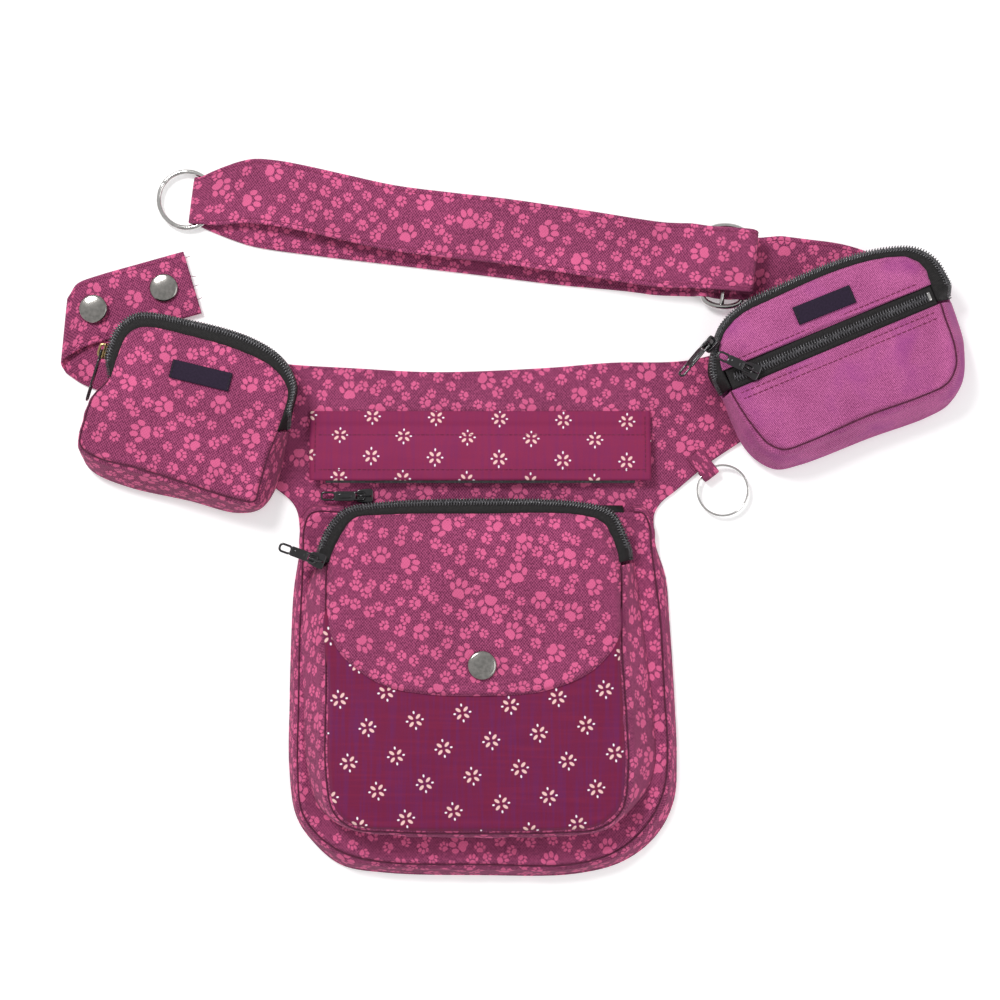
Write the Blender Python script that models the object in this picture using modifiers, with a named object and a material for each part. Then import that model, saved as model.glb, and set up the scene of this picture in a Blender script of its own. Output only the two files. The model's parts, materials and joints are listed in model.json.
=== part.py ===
"""Pouch bag: a hip belt bag that lies on its back, with a main bag, two belt pouches, a snap strap and
a long adjustable strap with a ring and a tri-glide.

Metres, +Z up. The bag lies on the plane z = 0 and its front faces up. Outlines are tables of shares of
named sizes, measured in a frame of their own: u along the frame's width, v along its height.
"""
import math
from collections import namedtuple

import bmesh
import bpy
import numpy as np
from mathutils import Matrix, Vector

# Cloth, tape and clearances
CLOTH = 0.0014            # one layer of the printed canvas, sewn double
BACK_CLOTH = 0.0020       # the padded back of the belt
THIN_CLOTH = 0.0011       # the plum cotton, the flap and the pouch backs
STRAP_CLOTH = 0.0015
LABEL_CLOTH = 0.0008
TAPE = 0.0009             # zip tape
COIL_HEIGHT = 0.0012      # the closed teeth above the tape
COIL_WIDTH = 0.0044
GAP = 0.0003              # between pieces that touch
PLY_GAP = 0.0006          # between two curved layers of cloth

# Main bag
BAG_X = -0.0114
BAG_TOP_Y = 0.0031        # the top edge of the rear compartment
REAR_WIDTH = 0.2055
REAR_HEIGHT = 0.1926
REAR_DEPTH = 0.0120
REAR_TOP_SHARE = 0.35     # depth at the zip, as a share of the depth at the bottom
FRONT_X = -0.0141
FRONT_TOP_Y = 0.0095
FRONT_WIDTH = 0.1875
FRONT_HEIGHT = 0.1780
FRONT_DEPTH = 0.0185
FRONT_TOP_SHARE = 0.72
FRONT_CROWN = 0.0060      # how far the filled front bulges past its seam
FLAP_STEP = 0.0150        # length over which the flap lifts clear of its sewn edge
COVER_WIDTH = 0.1815      # the plum strip over the hidden zip
COVER_HEIGHT = 0.0357
COVER_X = -0.0129
COVER_Y = 0.0390
COVER_LIFT = 0.0056       # height of its free edge over the back
COVERED_ZIP_LENGTH = 0.1650
COVERED_ZIP_WIDTH = 0.0120
COVERED_ZIP_Y = 0.0246
COVERED_SLIDER_SHARE = (-0.32, -0.1)      # off the zip's middle, in strip widths and zip widths

# Belt pouches
POUCH_DEPTH = 0.0195
POUCH_CROWN = 0.0042
LEFT_X, LEFT_Y, LEFT_TURN = -0.1686, 0.0538, -13.5
LEFT_WIDTH = 0.1080
LEFT_HEIGHT = 0.0860
RIGHT_X, RIGHT_Y, RIGHT_TURN = 0.1760, 0.0834, 21.8
RIGHT_WIDTH = 0.1160
RIGHT_HEIGHT = 0.0860
FRONT_ZIP_SLOT = 0.0006   # between the front pocket's zip tape and the cloth on each side
LABEL_LENGTH = 0.0320
LABEL_HEIGHT = 0.0098

# Belt, straps and metal
STRAP_WIDTH = 0.0345
LOOP_LENGTH = 0.2888      # from the tri-glide to the ring
GLIDE_X, GLIDE_Y, GLIDE_TURN = 0.1173, 0.1339, -5.0
LOOP_TURN = 172.9         # direction of the ring seen from the tri-glide
WIRE = 0.0030             # tri-glide wire
GLIDE_PITCH = 0.0104      # between its bars
GLIDE_STRAIGHT = 0.0166   # half the straight length of its side bars
GLIDE_END = 0.0050        # how far its round ends reach past them
RING_RADIUS = 0.01495     # to the middle of the wire
RING_WIRE = 0.0027
KEY_RING_RADIUS = 0.0134
KEY_RING_WIRE = 0.0011
KEY_RING_X, KEY_RING_Y = 0.1163, 0.0146
TAB_WIDTH = 0.0092
TAB_TURN = 128.0          # the way the tab points from the ring into the belt
TAB_LENGTH = 0.0135
LOOP_END = 1.15           # where the sewn loop turns back, in pitches from the middle bar
LOOP_SHIFT = 0.0030       # how far the sewn loop lies up from the middle of the tri-glide
CAP_RADIUS = 0.0075
CAP_HEIGHT = 0.0022

# Zip sliders and pulls
SLIDER_LENGTH = 0.0088
SLIDER_WIDTH = 0.0076
SLIDER_HEIGHT = 0.0022
ARCH_LENGTH = 0.0074
ARCH_WIDTH = 0.0015
ARCH_HEIGHT = 0.0033
ARCH_BAR = 0.0010
PULL_WIDTH = 0.0052
PULL_THICKNESS = 0.0010
PULL_END_BAR = 0.0010
PULL_EYE = 0.0046         # length of the hole that the arch stands in
PULL_EYE_WIDTH = 0.0026
PULL_AXIS = 0.0011        # height of the pull's axis over the slider
REAR_PULL = 0.0235        # lengths of the pulls
FRONT_PULL = 0.0210
LEFT_PULL = 0.0280
RIGHT_TOP_PULL = 0.0230
RIGHT_FRONT_PULL = 0.0200

# Sliders: the way that the pull points, and the tilt of one that sits on a pouch's wall, in degrees
REAR_WAY = 180.0
FRONT_WAY = 160.0
LEFT_WAY, LEFT_TILT = 253.0, 90.0
RIGHT_TOP_WAY, RIGHT_TOP_TILT = 230.0, 50.0
RIGHT_FRONT_WAY = 155.0

ROW_STEPS = 2             # mesh points to each row of an outline
PANEL_RINGS = (0.86, 0.62, 0.34)
CROWN_POWER = 2.5
BULGE_SHARE = 0.07        # how far a gusset bulges half way up, as a share of its depth

Frame = namedtuple("Frame", "x y turn width height")
BAG = Frame(BAG_X, BAG_TOP_Y, 0.0, REAR_WIDTH, REAR_HEIGHT)
FRONT = Frame(FRONT_X, FRONT_TOP_Y, 0.0, FRONT_WIDTH, FRONT_HEIGHT)
COVER = Frame(COVER_X, COVER_Y, 0.0, COVER_WIDTH, COVER_HEIGHT)
LEFT = Frame(LEFT_X, LEFT_Y, LEFT_TURN, LEFT_WIDTH, LEFT_HEIGHT)
RIGHT = Frame(RIGHT_X, RIGHT_Y, RIGHT_TURN, RIGHT_WIDTH, RIGHT_HEIGHT)
LOOP = Frame(GLIDE_X, GLIDE_Y, LOOP_TURN, LOOP_LENGTH, STRAP_WIDTH)
GLIDE = Frame(GLIDE_X, GLIDE_Y, GLIDE_TURN, 1.0, 1.0)

# Heights of the layers, from the floor up
BACK_TOP = BACK_CLOTH
REAR_FOOT = BACK_TOP + GAP
STRAP_ON_BELT = BACK_TOP + GAP + STRAP_CLOTH / 2
STRAP_ON_FLOOR = STRAP_CLOTH / 2
LEFT_BACK = STRAP_ON_BELT + STRAP_CLOTH / 2 + GAP
RIGHT_BACK = STRAP_ON_BELT + 1.5 * STRAP_CLOTH + 2 * GAP

# The belt and back: u and v of its outline, in the bag's frame, from the left wing clockwise
BACK_ROWS = (
    (-0.870, 0.277), (-0.808, 0.449), (-0.510, 0.410), (-0.340, 0.399), (-0.126, 0.388),
    (0.158, 0.399), (0.335, 0.414), (0.522, 0.419), (0.641, 0.449), (0.823, 0.512),
    (0.885, 0.346), (0.771, 0.268), (0.667, 0.193), (0.584, 0.133), (0.503, 0.061),
    (0.462, 0.025), (0.445, -0.006), (0.445, -0.056), (0.449, -0.094), (0.474, -0.180),
    (0.484, -0.299), (0.498, -0.532), (0.503, -0.679), (0.496, -0.798), (0.451, -0.895),
    (0.366, -0.967), (0.239, -1.003), (-0.008, -1.007), (-0.255, -1.000), (-0.369, -0.978),
    (-0.442, -0.914), (-0.486, -0.842), (-0.504, -0.707), (-0.503, -0.532), (-0.499, -0.355),
    (-0.492, -0.216), (-0.477, -0.103), (-0.477, -0.045), (-0.483, 0.000), (-0.499, 0.030),
    (-0.540, 0.066), (-0.683, 0.183),
)
# Compartments: seam u, seam v, foot u, foot v, from the left end of the zip round the bottom
REAR_ROWS = (
    (-0.360, 0.000, -0.360, 0.017), (-0.445, -0.004, -0.450, 0.013), (-0.463, -0.045, -0.473, -0.042),
    (-0.465, -0.102, -0.475, -0.102), (-0.469, -0.214, -0.489, -0.216), (-0.474, -0.352, -0.496, -0.354),
    (-0.476, -0.527, -0.500, -0.531), (-0.478, -0.700, -0.502, -0.705), (-0.466, -0.824, -0.484, -0.840),
    (-0.425, -0.887, -0.440, -0.911), (-0.355, -0.937, -0.368, -0.974), (-0.252, -0.961, -0.254, -0.996),
    (-0.008, -0.967, -0.008, -1.003), (0.237, -0.966, 0.238, -0.998), (0.348, -0.928, 0.365, -0.963),
    (0.425, -0.854, 0.449, -0.892), (0.466, -0.764, 0.493, -0.796), (0.476, -0.657, 0.500, -0.677),
    (0.469, -0.516, 0.496, -0.531), (0.458, -0.297, 0.482, -0.299), (0.446, -0.187, 0.471, -0.180),
    (0.435, -0.096, 0.447, -0.094), (0.432, -0.045, 0.443, -0.042), (0.415, -0.004, 0.420, 0.013),
    (0.390, 0.000, 0.390, 0.017), (0.010, 0.000, 0.010, 0.017),
)
REAR_WALL_ROWS = 25
FRONT_ROWS = (
    (-0.421, -0.193, -0.470, -0.214), (-0.425, -0.292, -0.493, -0.332), (-0.423, -0.555, -0.493, -0.594),
    (-0.423, -0.789, -0.482, -0.795), (-0.401, -0.912, -0.445, -0.914), (-0.348, -0.959, -0.374, -0.967),
    (-0.215, -0.973, -0.220, -0.994), (0.007, -0.976, 0.006, -0.997), (0.229, -0.973, 0.231, -0.994),
    (0.340, -0.961, 0.366, -0.973), (0.401, -0.909, 0.451, -0.896), (0.419, -0.804, 0.496, -0.807),
    (0.415, -0.628, 0.496, -0.638), (0.403, -0.438, 0.473, -0.430), (0.403, -0.292, 0.457, -0.291),
    (0.401, -0.193, 0.440, -0.187), (0.384, -0.123, 0.420, -0.113), (0.351, -0.064, 0.381, -0.036),
    (0.284, -0.042, 0.302, -0.009), (0.007, -0.038, 0.006, 0.003), (-0.271, -0.042, -0.287, -0.009),
    (-0.348, -0.053, -0.374, -0.027), (-0.390, -0.111, -0.428, -0.089),
)
FRONT_WALL_ROWS = 16
# Sewn-on layers of the front: u, v
POCKET_ROWS = (
    (-0.415, -0.309), (-0.415, -0.554), (-0.415, -0.787), (-0.394, -0.903), (-0.344, -0.949),
    (-0.215, -0.964), (0.007, -0.967), (0.228, -0.964), (0.335, -0.951), (0.393, -0.900),
    (0.410, -0.802), (0.406, -0.627), (0.396, -0.437), (0.396, -0.309), (0.200, -0.313),
    (-0.215, -0.313),
)
FLAP_ROWS = (
    (-0.382, -0.124), (-0.410, -0.195), (-0.418, -0.291), (-0.415, -0.372), (-0.381, -0.451),
    (-0.269, -0.538), (-0.148, -0.566), (0.032, -0.571), (0.184, -0.558), (0.322, -0.497),
    (0.392, -0.407), (0.397, -0.291), (0.390, -0.192), (0.370, -0.127), (0.338, -0.073),
    (0.280, -0.050), (0.007, -0.045), (-0.269, -0.050), (-0.340, -0.062),
)
FLAP_SNAP = (0.013, -0.482)
REAR_SLIDER_AT = (-0.307, 0.044)
# The cover strip: v, and its height as a share of its lift; the pleat is the low row near the top
COVER_ROWS = ((0.50, 0.04), (0.36, 0.16), (0.26, 0.12), (0.10, 0.62), (-0.20, 0.95), (-0.50, 1.00))
LEFT_ROWS = (
    (-0.391, 0.109, -0.412, 0.097), (-0.443, -0.013, -0.451, -0.017), (-0.458, -0.168, -0.471, -0.176),
    (-0.448, -0.321, -0.467, -0.359), (-0.360, -0.369, -0.408, -0.456), (-0.139, -0.378, -0.205, -0.509),
    (0.114, -0.399, 0.108, -0.504), (0.328, -0.419, 0.352, -0.507), (0.435, -0.405, 0.461, -0.442),
    (0.442, -0.315, 0.503, -0.315), (0.447, -0.132, 0.505, -0.085), (0.466, 0.030, 0.503, 0.054),
    (0.475, 0.164, 0.499, 0.193), (0.469, 0.300, 0.492, 0.341), (0.384, 0.406, 0.402, 0.480),
    (0.224, 0.463, 0.235, 0.559), (-0.044, 0.485, -0.068, 0.576), (-0.295, 0.467, -0.343, 0.536),
    (-0.354, 0.400, -0.414, 0.427), (-0.378, 0.251, -0.430, 0.269),
)
LEFT_WALL_ROWS = 12
LEFT_SLIDER_ROW = 19      # the row whose wall carries the slider, and how far up the wall it is
LEFT_SLIDER_SHARE = 0.60
LEFT_LABEL = (0.046, 0.262)
RIGHT_ROWS = (
    (-0.516, 0.066, -0.548, 0.043), (-0.502, -0.066, -0.549, -0.110), (-0.474, -0.218, -0.539, -0.275),
    (-0.448, -0.311, -0.508, -0.385), (-0.392, -0.383, -0.443, -0.483), (-0.289, -0.396, -0.329, -0.515),
    (0.025, -0.383, 0.015, -0.521), (0.288, -0.394, 0.297, -0.533), (0.405, -0.378, 0.414, -0.503),
    (0.469, -0.301, 0.509, -0.401), (0.497, -0.180, 0.568, -0.220), (0.504, 0.007, 0.586, -0.057),
    (0.509, 0.089, 0.590, 0.074), (0.503, 0.216, 0.589, 0.201), (0.502, 0.328, 0.568, 0.346),
    (0.452, 0.421, 0.505, 0.452), (0.329, 0.480, 0.374, 0.523), (0.122, 0.510, 0.158, 0.563),
    (-0.175, 0.497, -0.150, 0.553), (-0.351, 0.475, -0.330, 0.530), (-0.448, 0.409, -0.445, 0.459),
    (-0.498, 0.325, -0.512, 0.349), (-0.520, 0.199, -0.569, 0.207),
)
RIGHT_WALL_ROWS = 13      # the lower panel and its gusset
RIGHT_UPPER_ROWS = (13, 22)   # first and last row of the panel over the front zip
RIGHT_SLIDER_ROW = 21
RIGHT_SLIDER_SHARE = 0.97
RIGHT_SLIDER_CLEAR = 0.0018   # it overhangs the wall, so that its corners clear the coil
RIGHT_LABEL = (0.013, 0.340)
RIGHT_FRONT_SLIDER_SHARE = 0.115          # of the way along the pocket's zip

# Strap runs: u, v, the angle of the cross line in the frame in degrees, and the height as a share of
# the run's rise
TAIL_LOWER = (
    (-0.030, 0.144, 80.0, 1.0), (-0.231, 0.185, 80.0, 1.0), (-0.390, 0.220, 82.0, 0.4),
    (-0.542, 0.245, 88.0, 0.0), (-0.657, 0.287, 96.0, 0.0),
)
TAIL_UPPER = (
    (-0.680, 0.372, 99.0, 1.0), (-0.636, 0.450, 108.0, 0.75), (-0.530, 0.539, 117.0, 0.08),
    (-0.367, 0.655, 120.0, 0.0), (-0.135, 0.817, 120.0, 0.0),
)
TAIL_CAPS = ((-0.575, 0.512), (-0.264, 0.741))
BELT_LOWER = (
    (-0.297, 0.076, 90.0, 1.0), (-0.149, 0.076, 90.0, 1.0), (0.148, 0.076, 87.0, 1.0),
    (0.371, 0.086, 76.0, 1.0),
)
BELT_UPPER = (
    (0.385, 0.170, 73.0, 1.0), (0.310, 0.305, 66.0, 1.0), (0.165, 0.473, 60.0, 1.0), (0.006, 0.602, 60.0, 0.35),
    (-0.085, 0.672, 60.0, 0.0),
)
# Long strap: u from the tri-glide to the ring, v across as a share of the strap, the height as a share
# of the arch's rise, and the strap's width as a share
LOOP_LOWER = (
    (0.120, 0.064, 0.0, 1.0), (0.180, 0.062, 0.0, 1.0), (0.299, 0.093, 0.0, 1.0), (0.442, 0.094, 0.0, 1.0),
    (0.619, 0.104, 0.0, 1.0), (0.789, 0.109, 0.0, 1.0), (0.873, 0.083, 0.0, 1.0), (0.935, 0.030, 0.0, 0.88),
    (0.981, 0.000, 0.0, 0.72),
)
LOOP_UPPER = (
    (0.981, 0.000, 0.0, 0.72), (0.935, -0.120, 0.05, 0.92), (0.884, -0.240, 0.30, 1.0),
    (0.791, -0.228, 0.60, 1.0), (0.621, -0.088, 0.90, 1.0), (0.419, -0.093, 1.0, 1.0),
    (0.243, -0.060, 1.0, 1.0), (0.124, -0.033, 0.95, 1.0), (0.072, -0.070, 0.95, 1.0),
)


def clear_scene():
    """Remove what the scene holds, and the data that its objects leave."""
    for item in list(bpy.data.objects):
        bpy.data.objects.remove(item, do_unlink=True)
    for group in list(bpy.data.collections):
        bpy.data.collections.remove(group)


clear_scene()
PARTS = bpy.data.collections.new("pouch_bag")
bpy.context.scene.collection.children.link(PARTS)


def material(name, color, roughness, metallic=0.0):
    """A plain Principled material."""
    made = bpy.data.materials.new(name)
    made.use_nodes = True
    shader = made.node_tree.nodes["Principled BSDF"]
    shader.inputs["Base Color"].default_value = (*color, 1.0)
    shader.inputs["Roughness"].default_value = roughness
    shader.inputs["Metallic"].default_value = metallic
    return made


PAW_CANVAS = ("paw_canvas", (0.30, 0.07, 0.15), 0.85)
PLUM_COTTON = ("plum_cotton", (0.22, 0.03, 0.08), 0.80)
MAGENTA_CANVAS = ("magenta_canvas", (0.42, 0.10, 0.28), 0.85)
BLACK_TAPE = ("black_tape", (0.02, 0.02, 0.02), 0.70)
BLACK_LABEL = ("black_label", (0.015, 0.01, 0.02), 0.60)
BLACK_METAL = ("black_metal", (0.02, 0.02, 0.02), 0.25, 0.6)
BRIGHT_METAL = ("bright_metal", (0.75, 0.75, 0.74), 0.15, 1.0)


def add_object(name, mesh, look):
    """Put a mesh in the parts collection as a named object with its own material."""
    made = bpy.data.objects.new(name, mesh)
    mesh.materials.clear()
    mesh.materials.append(material(f"{name}_{look[0]}", *look[1:]))
    PARTS.objects.link(made)
    return made


def mesh_object(name, points, faces, look):
    """An object from a grid of computed points."""
    mesh = bpy.data.meshes.new(name)
    mesh.from_pydata([tuple(map(float, p)) for p in points], [], faces)
    mesh.validate()
    return add_object(name, mesh, look)


def thicken(item, thickness, outward):
    """Give an open surface its cloth thickness, outward or inward of the modelled face."""
    modifier = item.modifiers.new("cloth", "SOLIDIFY")
    modifier.thickness = thickness
    modifier.offset = 1.0 if outward else -1.0
    modifier.use_even_offset = True
    modifier.use_quality_normals = True


def level_foot(item, floor):
    """Trim a gusset's raw edge level with what it stands on, a height given by a function of y."""
    bpy.context.view_layer.update()
    mesh = bpy.data.meshes.new_from_object(item.evaluated_get(bpy.context.evaluated_depsgraph_get()))
    item.modifiers.clear()
    for vertex in mesh.vertices:
        vertex.co.z = max(vertex.co.z, floor(vertex.co.y))
    item.data = mesh


def place(frame, u, v):
    """World x and y of a share of a frame's width and height."""
    turn = math.radians(frame.turn)
    along, across = u * frame.width, v * frame.height
    return (
        frame.x + along * math.cos(turn) - across * math.sin(turn),
        frame.y + along * math.sin(turn) + across * math.cos(turn),
    )


def smooth(rows, steps, closed):
    """Points on a centripetal Catmull-Rom curve through the rows, steps of them to each span."""
    rows = np.asarray(rows, float)
    if closed:
        line = np.vstack([rows[-1:], rows, rows[:2]])
    else:
        line = np.vstack([2 * rows[:1] - rows[1:2], rows, 2 * rows[-1:] - rows[-2:-1]])
    result = []
    for first in range(len(line) - 3):
        p = line[first : first + 4]
        t = np.concatenate([[0.0], np.cumsum(np.sqrt(np.linalg.norm(np.diff(p[:, :2], axis=0), axis=1)))])
        for step in range(steps):
            s = t[1] + (t[2] - t[1]) * step / steps
            a = [((t[i + 1] - s) * p[i] + (s - t[i]) * p[i + 1]) / (t[i + 1] - t[i]) for i in range(3)]
            b = [((t[i + 2] - s) * a[i] + (s - t[i]) * a[i + 1]) / (t[i + 2] - t[i]) for i in range(2)]
            result.append(((t[2] - s) * b[0] + (s - t[1]) * b[1]) / (t[2] - t[1]))
    if not closed:
        result.append(rows[-1])
    return np.array(result)


def outline(frame, rows, steps=ROW_STEPS):
    """A closed outline in world coordinates, with every column pair of the rows placed in the frame."""
    placed = [sum((place(frame, *row[i : i + 2]) for i in range(0, len(row), 2)), ()) for row in rows]
    return smooth(placed, steps, True)


class Dome:
    """The shape of a filled front: the plane of its seam and a crown that falls away to the seam."""

    def __init__(self, ring, plane, crown):
        self.centre = ring.mean(axis=0)
        arms = ring - self.centre
        angles = np.arctan2(arms[:, 1], arms[:, 0])
        order = np.argsort(angles)
        self.angles, self.reach = angles[order], np.linalg.norm(arms, axis=1)[order]
        self.plane, self.crown = plane, crown

    def height(self, x, y):
        """Height of the cloth's outer face at a point."""
        dx, dy = x - self.centre[0], y - self.centre[1]
        reach = np.interp(math.atan2(dy, dx), self.angles, self.reach, period=2 * math.pi)
        share = min(math.hypot(dx, dy) / reach, 1.0)
        return self.plane(y) + self.crown * (1.0 - share**CROWN_POWER)

    def lift(self, points, extra=0.0):
        """The points in the plane, with their heights and an extra height added."""
        return np.array([(x, y, self.height(x, y) + extra) for x, y in points])


def panel_faces(count, rings):
    """Faces between concentric rings of count points and the last point, their centre."""
    faces = []
    for ring in range(rings - 1):
        for i in range(count):
            j = (i + 1) % count
            outer, inner = ring * count, (ring + 1) * count
            faces.append((outer + i, outer + j, inner + j, inner + i))
    last = (rings - 1) * count
    faces += [(last + i, last + (i + 1) % count, rings * count) for i in range(count)]
    return faces


def panel_points(ring, surface):
    """The rings of a panel and its centre, on a surface given by a function of x and y."""
    centre = ring.mean(axis=0)
    flat = [centre + (ring - centre) * share for share in (1.0, *PANEL_RINGS)]
    flat = np.vstack([*flat, centre[None]])
    return np.array([(x, y, surface(x, y)) for x, y in flat])


def sheet(name, ring, surface, thickness, look):
    """A layer of cloth inside an outline, whose lower face follows a surface."""
    points = panel_points(ring, surface)
    made = mesh_object(name, points, panel_faces(len(ring), 1 + len(PANEL_RINGS)), look)
    thicken(made, thickness, True)
    return made


def compartment(name, ring, wall, foot, surface, floor, look, bulge):
    """A hollow half of a pouch: a panel on the ring, and a gusset from its first points to the foot."""
    points = panel_points(ring, surface)
    faces = panel_faces(len(ring), 1 + len(PANEL_RINGS))
    middle = (points[:wall] + foot) / 2
    out = foot[:, :2] - points[:wall, :2]
    length = np.linalg.norm(out, axis=1, keepdims=True)
    middle[:, :2] += bulge * out / np.maximum(length, GAP)
    start = len(points)
    for i in range(wall - 1):
        faces.append((start + i, start + i + 1, i + 1, i))
        faces.append((start + wall + i, start + wall + i + 1, start + i + 1, start + i))
    made = mesh_object(name, np.vstack([points, middle, foot]), faces, look)
    thicken(made, CLOTH, False)
    level_foot(made, floor)
    return made


def flat_sheet(name, ring, bottom, thickness, look):
    """A flat layer of cloth: a filled outline with its thickness."""
    curve = bpy.data.curves.new(name, "CURVE")
    curve.dimensions = "2D"
    curve.fill_mode = "BOTH"
    curve.extrude = thickness / 2
    spline = curve.splines.new("POLY")
    spline.points.add(len(ring) - 1)
    for point, (x, y) in zip(spline.points, ring):
        point.co = (x, y, 0.0, 1.0)
    spline.use_cyclic_u = True
    return curve_to_mesh(name, curve, look, Matrix.Translation((0.0, 0.0, bottom + thickness / 2)))


def curve_to_mesh(name, curve, look, matrix):
    """The mesh of a curve object, with its caps welded on."""
    guide = bpy.data.objects.new(name, curve)
    bpy.context.scene.collection.objects.link(guide)
    bpy.context.view_layer.update()
    mesh = bpy.data.meshes.new_from_object(guide.evaluated_get(bpy.context.evaluated_depsgraph_get()))
    bpy.data.objects.remove(guide)
    work = bmesh.new()
    work.from_mesh(mesh)
    bmesh.ops.remove_doubles(work, verts=work.verts, dist=0.00001)
    bmesh.ops.recalc_face_normals(work, faces=work.faces)
    work.to_mesh(mesh)
    work.free()
    made = add_object(name, mesh, look)
    made.matrix_world = matrix
    return made


def loft(name, stations, look, closed=False):
    """A solid through sections of equal point counts, capped at its ends unless it is closed."""
    stations = np.asarray(stations, float)
    count, around = stations.shape[:2]
    faces = []
    for i in range(count if closed else count - 1):
        here, after = i * around, (i + 1) % count * around
        for j in range(around):
            k = (j + 1) % around
            faces.append((here + j, here + k, after + k, after + j))
    if not closed:
        faces.append(tuple(range(around))[::-1])
        faces.append(tuple(range((count - 1) * around, count * around)))
    made = mesh_object(name, stations.reshape(-1, 3), faces, look)
    work = bmesh.new()
    work.from_mesh(made.data)
    bmesh.ops.recalc_face_normals(work, faces=work.faces)
    work.to_mesh(made.data)
    work.free()
    return made


# Zip that closes a rim. Columns: share of the way out, share of the way down, tape thicknesses in and
# down, share of the coil's rise
RIM_PROFILE = (
    (0.00, 0.00, 0, 0, 0), (0.48, 0.04, 0, 0, 0), (0.58, 0.04, 0, 0, 1), (0.95, 0.10, 0, 0, 1),
    (1.00, 0.22, 0, 0, 0), (1.00, 1.00, 0, 0, 0), (1.00, 1.00, 1, 0, 0), (1.00, 0.25, 1, 1, 0),
    (0.48, 0.04, 0, 1, 0), (0.00, 0.00, 0, 1, 0),
)
COIL_MIDDLE = 0.77
COIL_DROP = 0.04


def rim_zip(name, seam, foot, rise=COIL_HEIGHT):
    """A zip from a panel's rim out over its coil and down to the foot. Returns its coil's top points."""
    seam, foot = shorten(seam), shorten(foot)
    stations, tops = [], []
    for top, low in zip(seam, foot):
        reach = np.linalg.norm(low[:2] - top[:2])
        out = (low[:2] - top[:2]) / reach
        drop = top[2] - low[2]
        section = []
        for along, down, inward, under, coil in RIM_PROFILE:
            distance = max(along * reach - inward * TAPE, 2 * GAP)
            height = top[2] - down * drop - under * TAPE + coil * rise
            section.append((*(top[:2] + out * distance), height))
        stations.append(section)
        tops.append((*(top[:2] + out * reach * COIL_MIDDLE), top[2] - COIL_DROP * drop + rise))
    loft(name, stations, BLACK_TAPE)
    return np.array(tops)


def shorten(points):
    """The points with both end stations drawn in from the cloth that they would touch."""
    points = points.copy()
    for end, after in ((0, 1), (-1, -2)):
        way = points[after] - points[end]
        points[end] = points[end] + way * min(2 * PLY_GAP / np.linalg.norm(way[:2]), 0.5)
    return points


def seat(tops, at, surface=None):
    """The place of a slider on a zip: clear of the coil and of the cloth that it reaches over."""
    heights = [t[2] for t in tops if math.dist(t[:2], at) < SLIDER_LENGTH * 1.1]
    if surface is not None:
        half = SLIDER_LENGTH / 2
        heights += [surface(at[0] + dx, at[1] + dy) for dx in (-half, 0, half) for dy in (-half, 0, half)]
    return (at[0], at[1], max(heights) + GAP)


def wall_seat(rim_point, clear, height):
    """The place of a tilted slider on a pouch's wall: out from the foot by a clearance, at a height."""
    out = rim_point[2:4] - rim_point[:2]
    x, y = rim_point[2:4] + out / np.linalg.norm(out) * clear
    return (x, y, height)


def flat_zip(name, line, width):
    """A zip tape with its coil along a line of points on its lower face."""
    half, coil = width / 2, COIL_WIDTH / 2
    profile = (
        (-half, 0.0), (half, 0.0), (half, TAPE), (coil, TAPE), (coil * 0.7, TAPE + COIL_HEIGHT),
        (-coil * 0.7, TAPE + COIL_HEIGHT), (-coil, TAPE), (-half, TAPE),
    )
    line = np.asarray(line, float)
    way = line[-1, :2] - line[0, :2]
    across = np.array([-way[1], way[0]]) / np.linalg.norm(way)
    loft(name, [[(*(p[:2] + across * a), p[2] + up) for a, up in profile] for p in line], BLACK_TAPE)


def box(name, size, centre, look):
    """A box from the cube primitive, with its scale in the mesh."""
    mesh = bpy.data.meshes.new(name)
    work = bmesh.new()
    bmesh.ops.create_cube(work, size=1.0)
    bmesh.ops.scale(work, vec=size, verts=work.verts)
    bmesh.ops.translate(work, vec=centre, verts=work.verts)
    work.to_mesh(mesh)
    work.free()
    return add_object(name, mesh, look)


def side_plate(name, loops, thickness, look):
    """A plate cut from a flat outline: the first loop is its edge and the others are holes."""
    curve = bpy.data.curves.new(name, "CURVE")
    curve.dimensions = "2D"
    curve.fill_mode = "BOTH"
    curve.extrude = thickness / 2
    for loop in loops:
        spline = curve.splines.new("POLY")
        spline.points.add(len(loop) - 1)
        for point, (x, y) in zip(spline.points, loop):
            point.co = (x, y, 0.0, 1.0)
        spline.use_cyclic_u = True
    return curve_to_mesh(name, curve, look, Matrix.Identity(4))


def join_into(base, other):
    """Add another solid to the base with an exact union, and remove it."""
    modifier = base.modifiers.new("join", "BOOLEAN")
    modifier.operation = "UNION"
    modifier.solver = "EXACT"
    modifier.object = other
    bpy.context.view_layer.update()
    mesh = bpy.data.meshes.new_from_object(base.evaluated_get(bpy.context.evaluated_depsgraph_get()))
    base.modifiers.clear()
    old = base.data
    base.data = mesh
    bpy.data.meshes.remove(old)
    bpy.data.objects.remove(other)


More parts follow.
